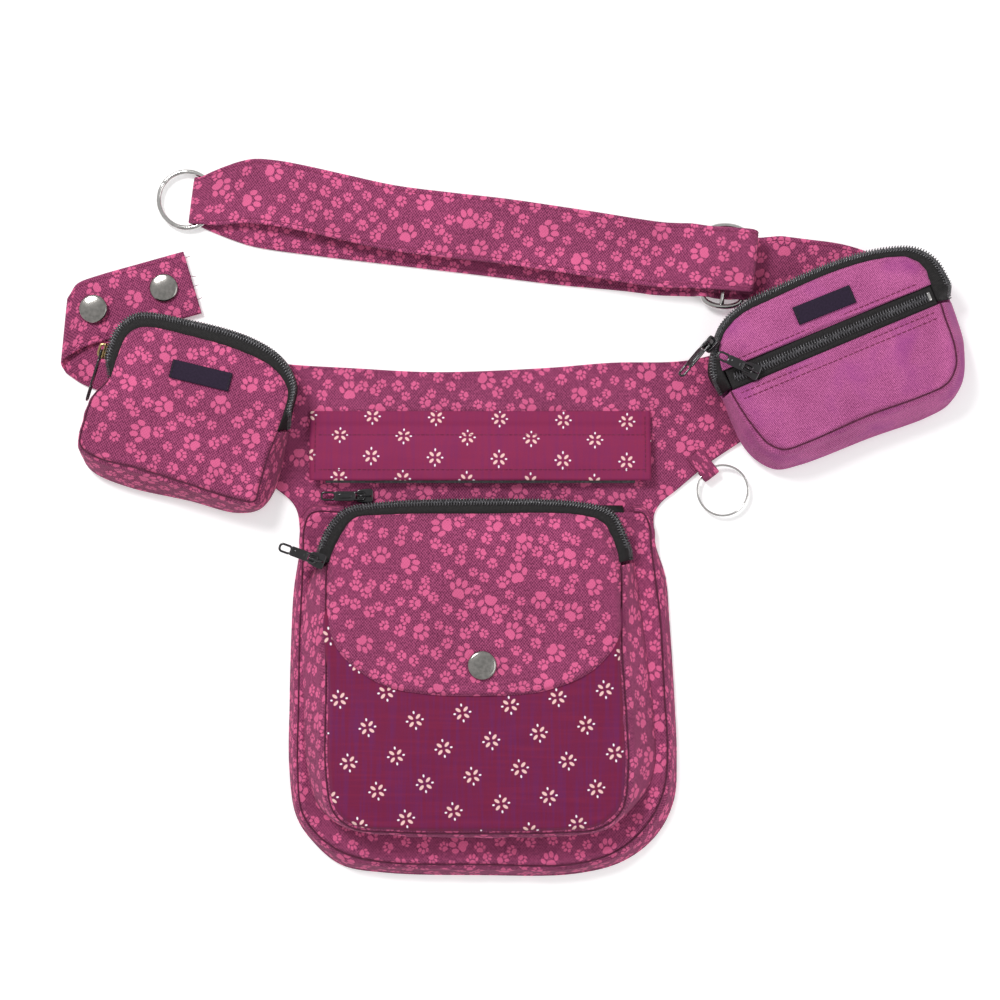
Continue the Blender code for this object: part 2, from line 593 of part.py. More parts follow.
def slider(name, place_at, heading, tilt=0.0, with_arch=True):
    """A zip slider on a coil: a body with an arch, which stands in the pull's eye."""
    body = box(name, (SLIDER_LENGTH, SLIDER_WIDTH, SLIDER_HEIGHT), (0, 0, SLIDER_HEIGHT / 2), BLACK_METAL)
    bevel = body.modifiers.new("edges", "BEVEL")
    bevel.width = SLIDER_HEIGHT * 0.3
    bevel.segments = 1
    bpy.context.view_layer.update()
    mesh = bpy.data.meshes.new_from_object(body.evaluated_get(bpy.context.evaluated_depsgraph_get()))
    body.modifiers.clear()
    body.data = mesh
    if with_arch:
        half, foot, post = ARCH_LENGTH / 2, -SLIDER_HEIGHT / 2, ARCH_BAR * 1.2
        edge = ((-half, foot), (half, foot), (half, ARCH_HEIGHT * 0.8), (half * 0.8, ARCH_HEIGHT),
                (-half * 0.8, ARCH_HEIGHT), (-half, ARCH_HEIGHT * 0.8))
        inner, top = half - post, ARCH_HEIGHT - ARCH_BAR
        hole = ((-inner, 0.0), (inner, 0.0), (inner, top), (-inner, top))
        arch = side_plate(f"{name}_arch", (edge, hole), ARCH_WIDTH, BLACK_METAL)
        arch.data.transform(Matrix.Translation((0, 0, SLIDER_HEIGHT)) @ Matrix.Rotation(math.pi / 2, 4, "X"))
        join_into(body, arch)
    body.location = place_at
    body.rotation_euler = (math.radians(tilt), 0.0, math.radians(heading))


def pull(name, place_at, heading, length, tilt=0.0):
    """A zip pull: a plate with an eye for the arch and a window at its tip. Its origin is its axis."""
    half, end = PULL_WIDTH / 2, PULL_END_BAR / 2
    steps = range(7)
    tip = [(length - half + half * math.sin(a), -half * math.cos(a))
           for a in (math.pi * i / 6 for i in steps)]
    edge = [(-end, -half), *tip, (-end, half)]
    eye = ((end, -PULL_EYE_WIDTH / 2), (end + PULL_EYE, -PULL_EYE_WIDTH / 2),
           (end + PULL_EYE, PULL_EYE_WIDTH / 2), (end, PULL_EYE_WIDTH / 2))
    slot = [(length - half * (1.5 - 0.5 * math.sin(a)), -half * 0.5 * math.cos(a))
            for a in (2 * math.pi * i / 8 for i in range(8))]
    made = side_plate(name, (edge, eye, slot), PULL_THICKNESS, BLACK_METAL)
    made.rotation_euler = (math.radians(tilt), 0.0, math.radians(heading))
    rise = Vector((0.0, 0.0, SLIDER_HEIGHT + PULL_AXIS))
    made.location = Vector(place_at) + made.rotation_euler.to_matrix() @ rise


def ribbon(name, stations, thickness, look):
    """A flat band through stations of x, y, z, cross angle and width, kept above the floor."""
    stations = np.asarray(stations, float)
    way = np.gradient(stations[:, :3], axis=0)
    angles = np.radians(stations[:, 3])
    cross = np.column_stack([np.cos(angles), np.sin(angles), np.zeros(len(angles))])
    normal = np.cross(cross, way)
    normal /= np.linalg.norm(normal, axis=1, keepdims=True)
    half, side = thickness / 2, cross * stations[:, 4:5] / 2
    middle = stations[:, :3]
    sections = np.stack(
        [middle - side - normal * half, middle + side - normal * half,
         middle + side + normal * half, middle - side + normal * half], axis=1)
    sections[..., 2] = np.maximum(sections[..., 2], 0.0)
    return loft(name, sections, look)


def half_turn(last, after, heading, reach=None, steps=5):
    """Stations of a half turn between two end stations, bulging by its radius or a given reach."""
    last, after = np.asarray(last, float), np.asarray(after, float)
    radius = (after[2] - last[2]) / 2
    reach = abs(radius) if reach is None else reach
    way = math.radians(heading)
    turned = []
    for step in range(1, steps):
        angle = math.pi * step / steps
        station = last + (after - last) * step / steps
        station[2] = last[2] + radius * (1 - math.cos(angle))
        station[0] += reach * math.sin(angle) * math.cos(way)
        station[1] += reach * math.sin(angle) * math.sin(way)
        turned.append(station)
    return turned


def run(frame, rows, low, high, steps):
    """Stations of a strap along rows of u, v, cross angle and share of the rise from low to high."""
    placed = [(*place(frame, u, v), low + (high - low) * rise, frame.turn + cross, STRAP_WIDTH)
              for u, v, cross, rise in rows]
    return list(smooth(placed, steps, False))


def snap_cap(name, x, y, z, tilt=None):
    """A domed snap cap: a turned profile."""
    profile = ((CAP_RADIUS * 0.001, CAP_HEIGHT), (CAP_RADIUS * 0.55, CAP_HEIGHT * 0.93),
               (CAP_RADIUS * 0.88, CAP_HEIGHT * 0.62), (CAP_RADIUS, CAP_HEIGHT * 0.25),
               (CAP_RADIUS * 0.96, 0.0))
    sides = 20
    stations = [[(r * math.cos(a), r * math.sin(a), h) for a in
                 (2 * math.pi * i / sides for i in range(sides))] for r, h in profile]
    made = loft(name, stations, BRIGHT_METAL)
    made.location = (x, y, z)
    if tilt is not None:
        made.rotation_mode = "QUATERNION"
        made.rotation_quaternion = Vector((0, 0, 1)).rotation_difference(Vector(tilt))
    return made


def ramp(frame, low, high):
    """A plane that rises from low at the top of a frame to high at its bottom."""
    return lambda y: low + (high - low) * (frame.y - y) / frame.height


def build_back():
    """The belt and back of the bag, flat on the floor."""
    flat_sheet("back_panel", outline(BAG, BACK_ROWS), 0.0, BACK_CLOTH, PAW_CANVAS)


REAR_PLANE = ramp(BAG, REAR_FOOT + REAR_DEPTH * REAR_TOP_SHARE, REAR_FOOT + REAR_DEPTH)


def build_rear():
    """The rear compartment, its zip and slider."""
    rim = outline(BAG, REAR_ROWS)
    wall = (REAR_WALL_ROWS - 1) * ROW_STEPS + 1
    foot = np.column_stack([rim[:wall, 2:4], np.full(wall, REAR_FOOT)])
    compartment("rear_compartment", rim[:, :2], wall, foot, lambda x, y: REAR_PLANE(y),
                lambda y: REAR_FOOT, PAW_CANVAS, REAR_DEPTH * BULGE_SHARE)
    rest = np.vstack([rim[wall - 1 :], rim[:1]])
    seam = np.array([(x, y, REAR_PLANE(y)) for x, y in rest[:, :2]])
    foot = np.column_stack([rest[:, 2:4], np.full(len(rest), REAR_FOOT)])
    rim_zip("rear_zip", seam, foot, rise=0.0)
    at = (*place(BAG, *REAR_SLIDER_AT), BACK_TOP + GAP)
    slider("rear_slider", at, REAR_WAY)
    pull("rear_pull", at, REAR_WAY, REAR_PULL)


def front_plane(y):
    """Height of the front compartment's seam."""
    depth = ramp(FRONT, FRONT_DEPTH * FRONT_TOP_SHARE, FRONT_DEPTH)
    return REAR_PLANE(y) + GAP + depth(y)


def build_front():
    """The front compartment with its zip, slip pocket, flap and snap."""
    rim = outline(FRONT, FRONT_ROWS)
    dome = Dome(rim[:, :2], front_plane, FRONT_CROWN)
    wall = (FRONT_WALL_ROWS - 1) * ROW_STEPS + 1
    foot = np.array([(x, y, REAR_PLANE(y) + GAP) for x, y in rim[:, 2:4]])
    compartment("front_compartment", rim[:, :2], wall, foot[:wall], dome.height,
                lambda y: REAR_PLANE(y) + GAP, PAW_CANVAS, FRONT_DEPTH * BULGE_SHARE)
    seam = np.array([(x, y, front_plane(y)) for x, y in rim[:, :2]])
    tops = rim_zip("front_zip", np.vstack([seam[wall - 1 :], seam[:1]]),
                   np.vstack([foot[wall - 1 :], foot[:1]]))
    at = seat(tops, (tops[-2, :2] + tops[-1, :2]) / 2, dome.height)
    slider("front_slider", at, FRONT_WAY)
    pull("front_pull", at, FRONT_WAY, FRONT_PULL)

    ring = outline(FRONT, POCKET_ROWS)
    sheet("slip_pocket", ring, lambda x, y: dome.height(x, y) + PLY_GAP, THIN_CLOTH, PLUM_COTTON)
    lift = 2 * PLY_GAP + THIN_CLOTH
    top = max(outline(FRONT, FLAP_ROWS)[:, 1])

    def flap_face(x, y):
        share = min(max((top - y) / FLAP_STEP, 0.0), 1.0)
        return dome.height(x, y) + PLY_GAP + (lift - PLY_GAP) * share

    sheet("flap", outline(FRONT, FLAP_ROWS), flap_face, THIN_CLOTH, PAW_CANVAS)
    x, y = place(FRONT, *FLAP_SNAP)
    step = CAP_RADIUS
    slope_x = (dome.height(x + step, y) - dome.height(x - step, y)) / (2 * step)
    slope_y = (dome.height(x, y + step) - dome.height(x, y - step)) / (2 * step)
    z = dome.height(x, y) + lift + THIN_CLOTH + PLY_GAP
    snap_cap("flap_snap", x, y, z, (-slope_x, -slope_y, 1.0))


def build_cover():
    """The zip under the plum strip, and the strip."""
    line = [(COVER_X + COVERED_ZIP_LENGTH * share, COVERED_ZIP_Y, BACK_TOP + GAP) for share in (-0.5, 0.5)]
    flat_zip("covered_zip", line, COVERED_ZIP_WIDTH)
    along, across = COVERED_SLIDER_SHARE
    at = (COVER_X + along * COVER_WIDTH, COVERED_ZIP_Y + across * COVERED_ZIP_WIDTH,
          BACK_TOP + 2 * GAP + TAPE + COIL_HEIGHT)
    slider("covered_slider", at, 90.0, with_arch=False)
    across = 9
    points = []
    for v, rise in COVER_ROWS:
        for i in range(across):
            x, y = place(COVER, 0.5 - i / (across - 1), v)
            points.append((x, y, BACK_TOP + GAP + COVER_LIFT * rise))
    faces = [(r * across + i, r * across + i + 1, (r + 1) * across + i + 1, (r + 1) * across + i)
             for r in range(len(COVER_ROWS) - 1) for i in range(across - 1)]
    strip = mesh_object("zip_cover", points, faces, PLUM_COTTON)
    thicken(strip, THIN_CLOTH, True)


def label(name, frame, at, dome):
    """A bare woven label on a front."""
    across, rows = 5, 3
    points = []
    for j in range(rows):
        for i in range(across):
            u = at[0] + (i / (across - 1) - 0.5) * LABEL_LENGTH / frame.width
            v = at[1] + (j / (rows - 1) - 0.5) * LABEL_HEIGHT / frame.height
            x, y = place(frame, u, v)
            points.append((x, y, dome.height(x, y) + PLY_GAP))
    faces = [(j * across + i, j * across + i + 1, (j + 1) * across + i + 1, (j + 1) * across + i)
             for j in range(rows - 1) for i in range(across - 1)]
    thicken(mesh_object(name, points, faces, BLACK_LABEL), LABEL_CLOTH, True)


def build_left_pouch():
    """The pouch on the left wing: back, shell, zip, slider, pull and label."""
    rim = outline(LEFT, LEFT_ROWS)
    back = LEFT_BACK
    foot_z = back + THIN_CLOTH + GAP
    dome = Dome(rim[:, :2], lambda y: foot_z + POUCH_DEPTH, POUCH_CROWN)
    wall = (LEFT_WALL_ROWS - 1) * ROW_STEPS + 1
    flat_sheet("left_pouch_back", rim[:, 2:4], back, THIN_CLOTH, PAW_CANVAS)
    foot = np.column_stack([rim[:, 2:4], np.full(len(rim), foot_z)])
    compartment("left_pouch", rim[:, :2], wall, foot[:wall], dome.height,
                lambda y: foot_z, PAW_CANVAS, POUCH_DEPTH * BULGE_SHARE)
    seam = dome.lift(rim[:, :2])
    rim_zip("left_pouch_zip", np.vstack([seam[wall - 1 :], seam[:1]]),
            np.vstack([foot[wall - 1 :], foot[:1]]))
    at = wall_seat(rim[LEFT_SLIDER_ROW * ROW_STEPS], PLY_GAP, foot_z + POUCH_DEPTH * LEFT_SLIDER_SHARE)
    slider("left_pouch_slider", at, LEFT_WAY, LEFT_TILT)
    pull("left_pouch_pull", at, LEFT_WAY, LEFT_PULL, LEFT_TILT)
    label("left_pouch_label", LEFT, LEFT_LABEL, dome)


def build_right_pouch():
    """The pouch on the right wing, with a front pocket zip and a zip round its top."""
    rim = outline(RIGHT, RIGHT_ROWS)
    foot_z = RIGHT_BACK + THIN_CLOTH + GAP
    dome = Dome(rim[:, :2], lambda y: foot_z + POUCH_DEPTH, POUCH_CROWN)
    flat_sheet("right_pouch_back", rim[:, 2:4], RIGHT_BACK, THIN_CLOTH, MAGENTA_CANVAS)
    foot = np.column_stack([rim[:, 2:4], np.full(len(rim), foot_z)])
    wall = (RIGHT_WALL_ROWS - 1) * ROW_STEPS + 1
    shares = np.array([0.2, 0.4, 0.6, 0.8])[:, None]
    chord = rim[wall - 1, :2] * (1 - shares) + rim[0, :2] * shares
    compartment("right_pouch", np.vstack([rim[:wall, :2], chord]), wall, foot[:wall], dome.height,
                lambda y: foot_z, MAGENTA_CANVAS, POUCH_DEPTH * BULGE_SHARE)
    first, last = (row * ROW_STEPS for row in RIGHT_UPPER_ROWS)
    upper = rim[first : last + 1, :2]
    upper_chord = upper[-1] * (1 - shares) + upper[0] * shares
    made = mesh_object("right_pouch_upper", *panel_mesh(np.vstack([upper, upper_chord]), dome.height),
                       MAGENTA_CANVAS)
    thicken(made, CLOTH, False)
    seam = dome.lift(rim[:, :2])
    rim_zip("right_pouch_top_zip", np.vstack([seam[wall - 1 :], seam[:1]]),
            np.vstack([foot[wall - 1 :], foot[:1]]))
    at = wall_seat(rim[RIGHT_SLIDER_ROW * ROW_STEPS], RIGHT_SLIDER_CLEAR,
                   foot_z + POUCH_DEPTH * RIGHT_SLIDER_SHARE)
    slider("right_pouch_top_slider", at, RIGHT_TOP_WAY, RIGHT_TOP_TILT)
    pull("right_pouch_top_pull", at, RIGHT_TOP_WAY, RIGHT_TOP_PULL, RIGHT_TOP_TILT)

    start = (rim[0, :2] + upper[-1]) / 2
    end = (rim[wall - 1, :2] + upper[0]) / 2
    way = end - start
    side = np.array([-way[1], way[0]]) / np.linalg.norm(way)
    room = abs(np.dot(upper[-1] - rim[0, :2], side))
    line = [start + way * share for share in (0.035, 0.2, 0.4, 0.6, 0.8, 0.965)]
    flat_zip("right_pouch_front_zip", [(x, y, dome.height(x, y) - TAPE - GAP) for x, y in line],
             room - 2 * FRONT_ZIP_SLOT - 2 * GAP)
    x, y = start + way * RIGHT_FRONT_SLIDER_SHARE
    at = (x, y, dome.height(x, y) + COIL_HEIGHT + GAP)
    slider("right_pouch_front_slider", at, RIGHT_FRONT_WAY)
    pull("right_pouch_front_pull", at, RIGHT_FRONT_WAY, RIGHT_FRONT_PULL)
    label("right_pouch_label", RIGHT, RIGHT_LABEL, dome)


def panel_mesh(ring, surface):
    """Points and faces of a panel on a ring."""
    return panel_points(ring, surface), panel_faces(len(ring), 1 + len(PANEL_RINGS))


def build_snap_strap():
    """The folded tail with its two snap caps."""
    low, high = STRAP_ON_FLOOR + 4 * STRAP_CLOTH / 3, STRAP_ON_FLOOR + 2.6 * STRAP_CLOTH
    lower = run(LEFT, TAIL_LOWER, STRAP_ON_FLOOR, STRAP_ON_BELT, 3)
    upper = run(LEFT, TAIL_UPPER, low, high, 3)
    turned = half_turn(lower[-1], upper[0], LEFT_TURN + TAIL_LOWER[-1][2] + 90.0)
    ribbon("snap_strap", [*lower, *turned, *upper], STRAP_CLOTH, PAW_CANVAS)
    for number, (u, v) in enumerate(TAIL_CAPS, 1):
        x, y = place(LEFT, u, v)
        near = [s[2] for s in upper if math.dist(s[:2], (x, y)) < 1.6 * CAP_RADIUS]
        snap_cap(f"snap_cap_{number}", x, y, max(near) + STRAP_CLOTH / 2 + GAP)


def weave():
    """The strap and its loop at the tri-glide: rows of distance from the middle bar, and height."""
    half = WIRE / 2
    bar = 2 * STRAP_CLOTH + 3 * GAP + half
    over = bar + half + STRAP_CLOTH / 2 + 1.5 * GAP
    ply = STRAP_CLOTH + 1.5 * GAP
    low = STRAP_ON_FLOOR
    side = (
        (GLIDE_PITCH + WIRE * 2.2, low), (GLIDE_PITCH + WIRE * 1.4, low + 0.38 * bar),
        (GLIDE_PITCH + WIRE * 0.92, over - 1.1 * STRAP_CLOTH), (GLIDE_PITCH, over),
        (GLIDE_PITCH - WIRE * 0.93, over - STRAP_CLOTH), (GLIDE_PITCH * 0.43, low + STRAP_CLOTH),
        (GLIDE_PITCH * 0.14, low),
    )
    belt = [*side, *((-s, z) for s, z in reversed(side))]
    near = (
        (GLIDE_PITCH, over + ply * 1.03), (GLIDE_PITCH * 0.81, over + ply * 0.62),
        (GLIDE_PITCH * 0.59, over - 0.2 * STRAP_CLOTH), (GLIDE_PITCH * 0.29, low + ply * 1.42),
    )
    loop = [(GLIDE_PITCH * LOOP_END, over + ply * 1.1), *near, (0.0, low + ply * 1.03),
            *((-s, z) for s, z in reversed(near[1:])), (-GLIDE_PITCH, over + ply * 1.1)]
    return bar, over, ply, belt, loop


def build_long_strap():
    """The long strap: up from the belt, round the ring and back to its loop on the tri-glide."""
    bar, over, ply, belt, loop = weave()
    top = STRAP_ON_BELT + STRAP_CLOTH + GAP
    stations = run(RIGHT, BELT_LOWER, STRAP_ON_BELT, STRAP_ON_BELT, 3)
    upper = run(RIGHT, BELT_UPPER, STRAP_ON_FLOOR, top, 3)
    stations += half_turn(stations[-1], upper[0], RIGHT_TURN + BELT_LOWER[-1][2] - 90.0) + upper
    cross = GLIDE_TURN + 90.0
    for s, z in belt:
        stations.append((*place(GLIDE, s, 0.0), z, cross, STRAP_WIDTH))
    ring_gap = RING_WIRE + 2 * GAP
    ring_top = STRAP_ON_FLOOR + STRAP_CLOTH + ring_gap
    arch = over + 2 * ply - ring_top
    lower = [(*place(LOOP, u, v), STRAP_ON_FLOOR, LOOP_TURN - 90.0, STRAP_WIDTH * w)
             for u, v, _, w in LOOP_LOWER]
    stations += list(smooth(lower, 2, False))
    back = [(*place(LOOP, u, v), ring_top + arch * rise, LOOP_TURN - 90.0, STRAP_WIDTH * w)
            for u, v, rise, w in LOOP_UPPER]
    stations += half_turn(stations[-1], back[0], LOOP_TURN)
    stations += list(smooth(back, 2, False))
    high = over + 3.9 * ply
    crest = ((-1.03, over + 2.6 * ply), (-0.4, high - 0.5 * ply), (0.4, high), (LOOP_END, high))
    stations += [(*place(GLIDE, GLIDE_PITCH * s, LOOP_SHIFT), z, cross, STRAP_WIDTH * 0.97) for s, z in crest]
    under = [(*place(GLIDE, s, LOOP_SHIFT * 0.7), z, cross, STRAP_WIDTH * 0.95) for s, z in loop]
    stations += half_turn(stations[-1], under[0], GLIDE_TURN) + under
    ribbon("adjustable_strap", stations, STRAP_CLOTH, PAW_CANVAS)

    x, y = place(LOOP, 1.0, 0.0)
    bpy.ops.mesh.primitive_torus_add(major_radius=RING_RADIUS, minor_radius=RING_WIRE / 2,
                                     major_segments=28, minor_segments=8)
    ring = bpy.context.object
    mesh = ring.data
    bpy.data.objects.remove(ring)
    made = add_object("o_ring", mesh, BRIGHT_METAL)
    made.location = (x, y, STRAP_ON_FLOOR + STRAP_CLOTH / 2 + GAP + RING_WIRE / 2)
    build_glide(bar)


def build_glide(height):
    """The tri-glide: an oval wire frame with a bar across its middle."""
    corners = []
    for side in (1, -1):
        for step in range(7):
            angle = math.pi * step / 6
            corners.append((side * GLIDE_PITCH * math.cos(angle),
                            side * (GLIDE_STRAIGHT + GLIDE_END * math.sin(angle))))
    curve = bpy.data.curves.new("tri_glide", "CURVE")
    curve.dimensions = "3D"
    curve.bevel_depth = WIRE / 2
    curve.bevel_resolution = 2
    spline = curve.splines.new("POLY")
    spline.points.add(len(corners) - 1)
    for point, (x, y) in zip(spline.points, corners):
        point.co = (x, y, 0.0, 1.0)
    spline.use_cyclic_u = True
    frame = curve_to_mesh("tri_glide", curve, BRIGHT_METAL, Matrix.Identity(4))
    mesh = bpy.data.meshes.new("bar")
    work = bmesh.new()
    bmesh.ops.create_cone(work, cap_ends=True, segments=8, radius1=WIRE * 0.45, radius2=WIRE * 0.45,
                          depth=2 * (GLIDE_STRAIGHT + GLIDE_END),
                          matrix=Matrix.Rotation(math.pi / 2, 4, "X"))
    work.to_mesh(mesh)
    work.free()
    join_into(frame, add_object("middle_bar", mesh, BRIGHT_METAL))
    frame.location = (GLIDE_X, GLIDE_Y, height)
    frame.rotation_euler = (0.0, 0.0, math.radians(GLIDE_TURN))


def build_key_ring():
    """The split key ring, a flat double coil, and the cloth tab that holds it on the belt."""
    tab_top = GAP + THIN_CLOTH
    height = 2 * KEY_RING_WIRE + GAP
    base = tab_top + GAP
    stations, turns, per_turn = [], 1.9, 26
    count = int(turns * per_turn)
    half = KEY_RING_WIRE / 2
    for i in range(count + 1):
        angle = math.radians(TAB_TURN + 35.0) + 2 * math.pi * i / per_turn
        rise = (KEY_RING_WIRE + GAP) * i / per_turn + half
        section = [(KEY_RING_RADIUS + a * half, b * half)
                   for a, b in ((-1, -1), (1, -1), (1, 1), (-1, 1))]
        stations.append([(KEY_RING_X + r * math.cos(angle), KEY_RING_Y + r * math.sin(angle), base + rise + h)
                         for r, h in section])
    loft("key_ring", stations, BRIGHT_METAL)

    way = math.radians(TAB_TURN)
    seat = Frame(KEY_RING_X, KEY_RING_Y, TAB_TURN, 1.0, 1.0)
    half_cloth = THIN_CLOTH / 2
    low = GAP + half_cloth
    reach = (turns * (KEY_RING_WIRE + GAP)) + KEY_RING_WIRE
    high = base + reach + 2 * GAP + half_cloth
    bow = KEY_RING_RADIUS - math.sqrt(KEY_RING_RADIUS**2 - (TAB_WIDTH / 2) ** 2)
    inner = KEY_RING_RADIUS - KEY_RING_WIRE / 2 - bow - 3 * GAP
    outer = KEY_RING_RADIUS + 1.6 * KEY_RING_WIRE
    end = inner + TAB_LENGTH
    on_belt = BACK_TOP + GAP + half_cloth
    stations = [(*place(seat, outer, 0.0), low, TAB_TURN + 90.0, TAB_WIDTH),
                (*place(seat, inner, 0.0), low, TAB_TURN + 90.0, TAB_WIDTH)]
    upper = [(*place(seat, inner, 0.0), high, TAB_TURN + 90.0, TAB_WIDTH),
             (*place(seat, outer, 0.0), high, TAB_TURN + 90.0, TAB_WIDTH),
             (*place(seat, (outer + end) / 2, 0.0), on_belt + GAP, TAB_TURN + 90.0, TAB_WIDTH),
             (*place(seat, end, 0.0), on_belt, TAB_TURN + 90.0, TAB_WIDTH)]
    stations += half_turn(stations[-1], upper[0], TAB_TURN + 180.0, 1.5 * THIN_CLOTH) + upper
    ribbon("ring_tab", stations, THIN_CLOTH, PAW_CANVAS)


build_back()
build_rear()
build_front()
build_cover()
build_left_pouch()
build_right_pouch()
build_snap_strap()
build_long_strap()
build_key_ring()
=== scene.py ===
"""Looks of the pouch bag: printed cloth shells, straps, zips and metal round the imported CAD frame.

The bag lies on the plane z = 0 with its front up. Lengths are metres. Every new piece is a surface of
two parameters worked out as whole arrays, with its place in its mesh.
"""

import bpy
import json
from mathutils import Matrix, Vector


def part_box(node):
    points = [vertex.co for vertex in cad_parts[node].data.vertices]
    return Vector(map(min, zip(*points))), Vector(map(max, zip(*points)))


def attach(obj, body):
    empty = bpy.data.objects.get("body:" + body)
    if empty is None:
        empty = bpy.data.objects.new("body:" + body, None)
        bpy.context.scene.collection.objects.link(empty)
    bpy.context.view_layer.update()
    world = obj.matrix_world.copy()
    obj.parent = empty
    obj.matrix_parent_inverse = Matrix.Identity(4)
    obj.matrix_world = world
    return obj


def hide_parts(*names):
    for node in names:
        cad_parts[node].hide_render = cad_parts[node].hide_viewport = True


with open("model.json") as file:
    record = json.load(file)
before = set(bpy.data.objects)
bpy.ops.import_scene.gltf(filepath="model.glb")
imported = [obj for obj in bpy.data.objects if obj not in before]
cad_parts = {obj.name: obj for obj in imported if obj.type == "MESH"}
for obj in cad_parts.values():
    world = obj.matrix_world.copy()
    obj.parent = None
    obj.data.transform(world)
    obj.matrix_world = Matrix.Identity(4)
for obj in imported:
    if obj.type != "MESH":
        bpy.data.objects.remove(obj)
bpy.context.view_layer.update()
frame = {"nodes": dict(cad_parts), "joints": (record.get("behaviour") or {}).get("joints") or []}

import json
import logging
import math
from dataclasses import dataclass
from enum import Enum
from typing import Callable, Optional, Sequence

import bpy
import numpy as np

log = logging.getLogger("pouch_bag")
Array = np.ndarray
Surface = Callable[[Array, Array], Array]
Socket = bpy.types.NodeSocket
MM = 0.001
CLOTH_MAP = "cloth"

# Layers and sizes, as in the part's source
BACK_TOP = 0.0020
GAP = 0.0003
PLY_GAP = 0.0006
THIN_CLOTH = 0.0011
STRAP_CLOTH = 0.0015
STRAP_WIDTH = 0.0345
REAR_FOOT = BACK_TOP + GAP
REAR_DEPTH = 0.0120
REAR_TOP_SHARE = 0.35
FRONT_DEPTH = 0.0185
FRONT_TOP_SHARE = 0.72
FRONT_CROWN = 0.0060
POUCH_DEPTH = 0.0195
POUCH_CROWN = 0.0042
LEFT_BACK = BACK_TOP + 2 * GAP + STRAP_CLOTH
RIGHT_BACK = BACK_TOP + 3 * GAP + 2 * STRAP_CLOTH
WIRE = 0.0030
GLIDE_PITCH = 0.0104
GLIDE_STRAIGHT = 0.0166
GLIDE_END = 0.0050
LOOP_END = 1.15
LOOP_SHIFT = 0.0030
RING_RADIUS = 0.01495
RING_WIRE = 0.0027
KEY_RING_RADIUS = 0.0134
KEY_RING_WIRE = 0.0011
TAB_WIDTH = 0.0092
TAB_LENGTH = 0.0135
CAP_RADIUS = 0.0075
CAP_HEIGHT = 0.0022
TOOTH_PITCH = 0.0015
BULGE_SHARE = 0.07
COVER_LIFT = 0.0056
CROWN_POWER = 2.5
SPAN_STEPS = 8            # mesh points to each row of an outline
UP = (0.0, 0.0, 1.0)
NO_RIM = np.zeros((0, 4))     # of a layer without a gusset


@dataclass(frozen=True)
class Frame:
    """A turned rectangle on the floor plane, in which outlines are shares of its width and height."""

    x: float
    y: float
    turn: float
    width: float
    height: float

    def place(self, u: Array, v: Array) -> Array:
        """World x and y of shares u and v: the centre plus the turned offsets."""
        turn = math.radians(self.turn)
        along, across = np.asarray(u, float) * self.width, np.asarray(v, float) * self.height
        return np.stack([self.x + along * math.cos(turn) - across * math.sin(turn),
                         self.y + along * math.sin(turn) + across * math.cos(turn)], axis=-1)

    def cloth(self, places: Array) -> Array:
        """Cloth coordinates of world points: their offsets from the centre, turned back."""
        turn = math.radians(self.turn)
        dx, dy = places[..., 0] - self.x, places[..., 1] - self.y
        return np.stack([dx * math.cos(turn) + dy * math.sin(turn),
                         dy * math.cos(turn) - dx * math.sin(turn)], axis=-1)


BAG = Frame(-0.0114, 0.0031, 0.0, 0.2055, 0.1926)
FRONT = Frame(-0.0141, 0.0095, 0.0, 0.1875, 0.1780)
COVER = Frame(-0.0129, 0.0390, 0.0, 0.1815, 0.0357)
LEFT = Frame(-0.1686, 0.0538, -13.5, 0.1080, 0.0860)
RIGHT = Frame(0.1760, 0.0834, 21.8, 0.1160, 0.0860)
LOOP = Frame(0.1173, 0.1339, 172.9, 0.2888, STRAP_WIDTH)
GLIDE = Frame(0.1173, 0.1339, -5.0, 1.0, 1.0)
KEY = Frame(0.1163, 0.0146, 128.0, 1.0, 1.0)

# Outlines are in thousandths of their frame's width and height.
# The belt and back: u and v, in the bag's frame, from the left wing clockwise
BACK_ROWS = (
    (-870, 277), (-808, 449), (-510, 410), (-340, 399), (-126, 388), (158, 399), (335, 414), (522, 419),
    (641, 449), (823, 512), (885, 346), (771, 268), (667, 193), (584, 133), (503, 61), (462, 25), (445, -6),
    (445, -56), (449, -94), (474, -180), (484, -299), (498, -532), (503, -679), (496, -798), (451, -895),
    (366, -967), (239, -1003), (-8, -1007), (-255, -1000), (-369, -978), (-442, -914), (-486, -842),
    (-504, -707), (-503, -532), (-499, -355), (-492, -216), (-477, -103), (-477, -45), (-483, 0),
    (-499, 30), (-540, 66), (-683, 183),
)
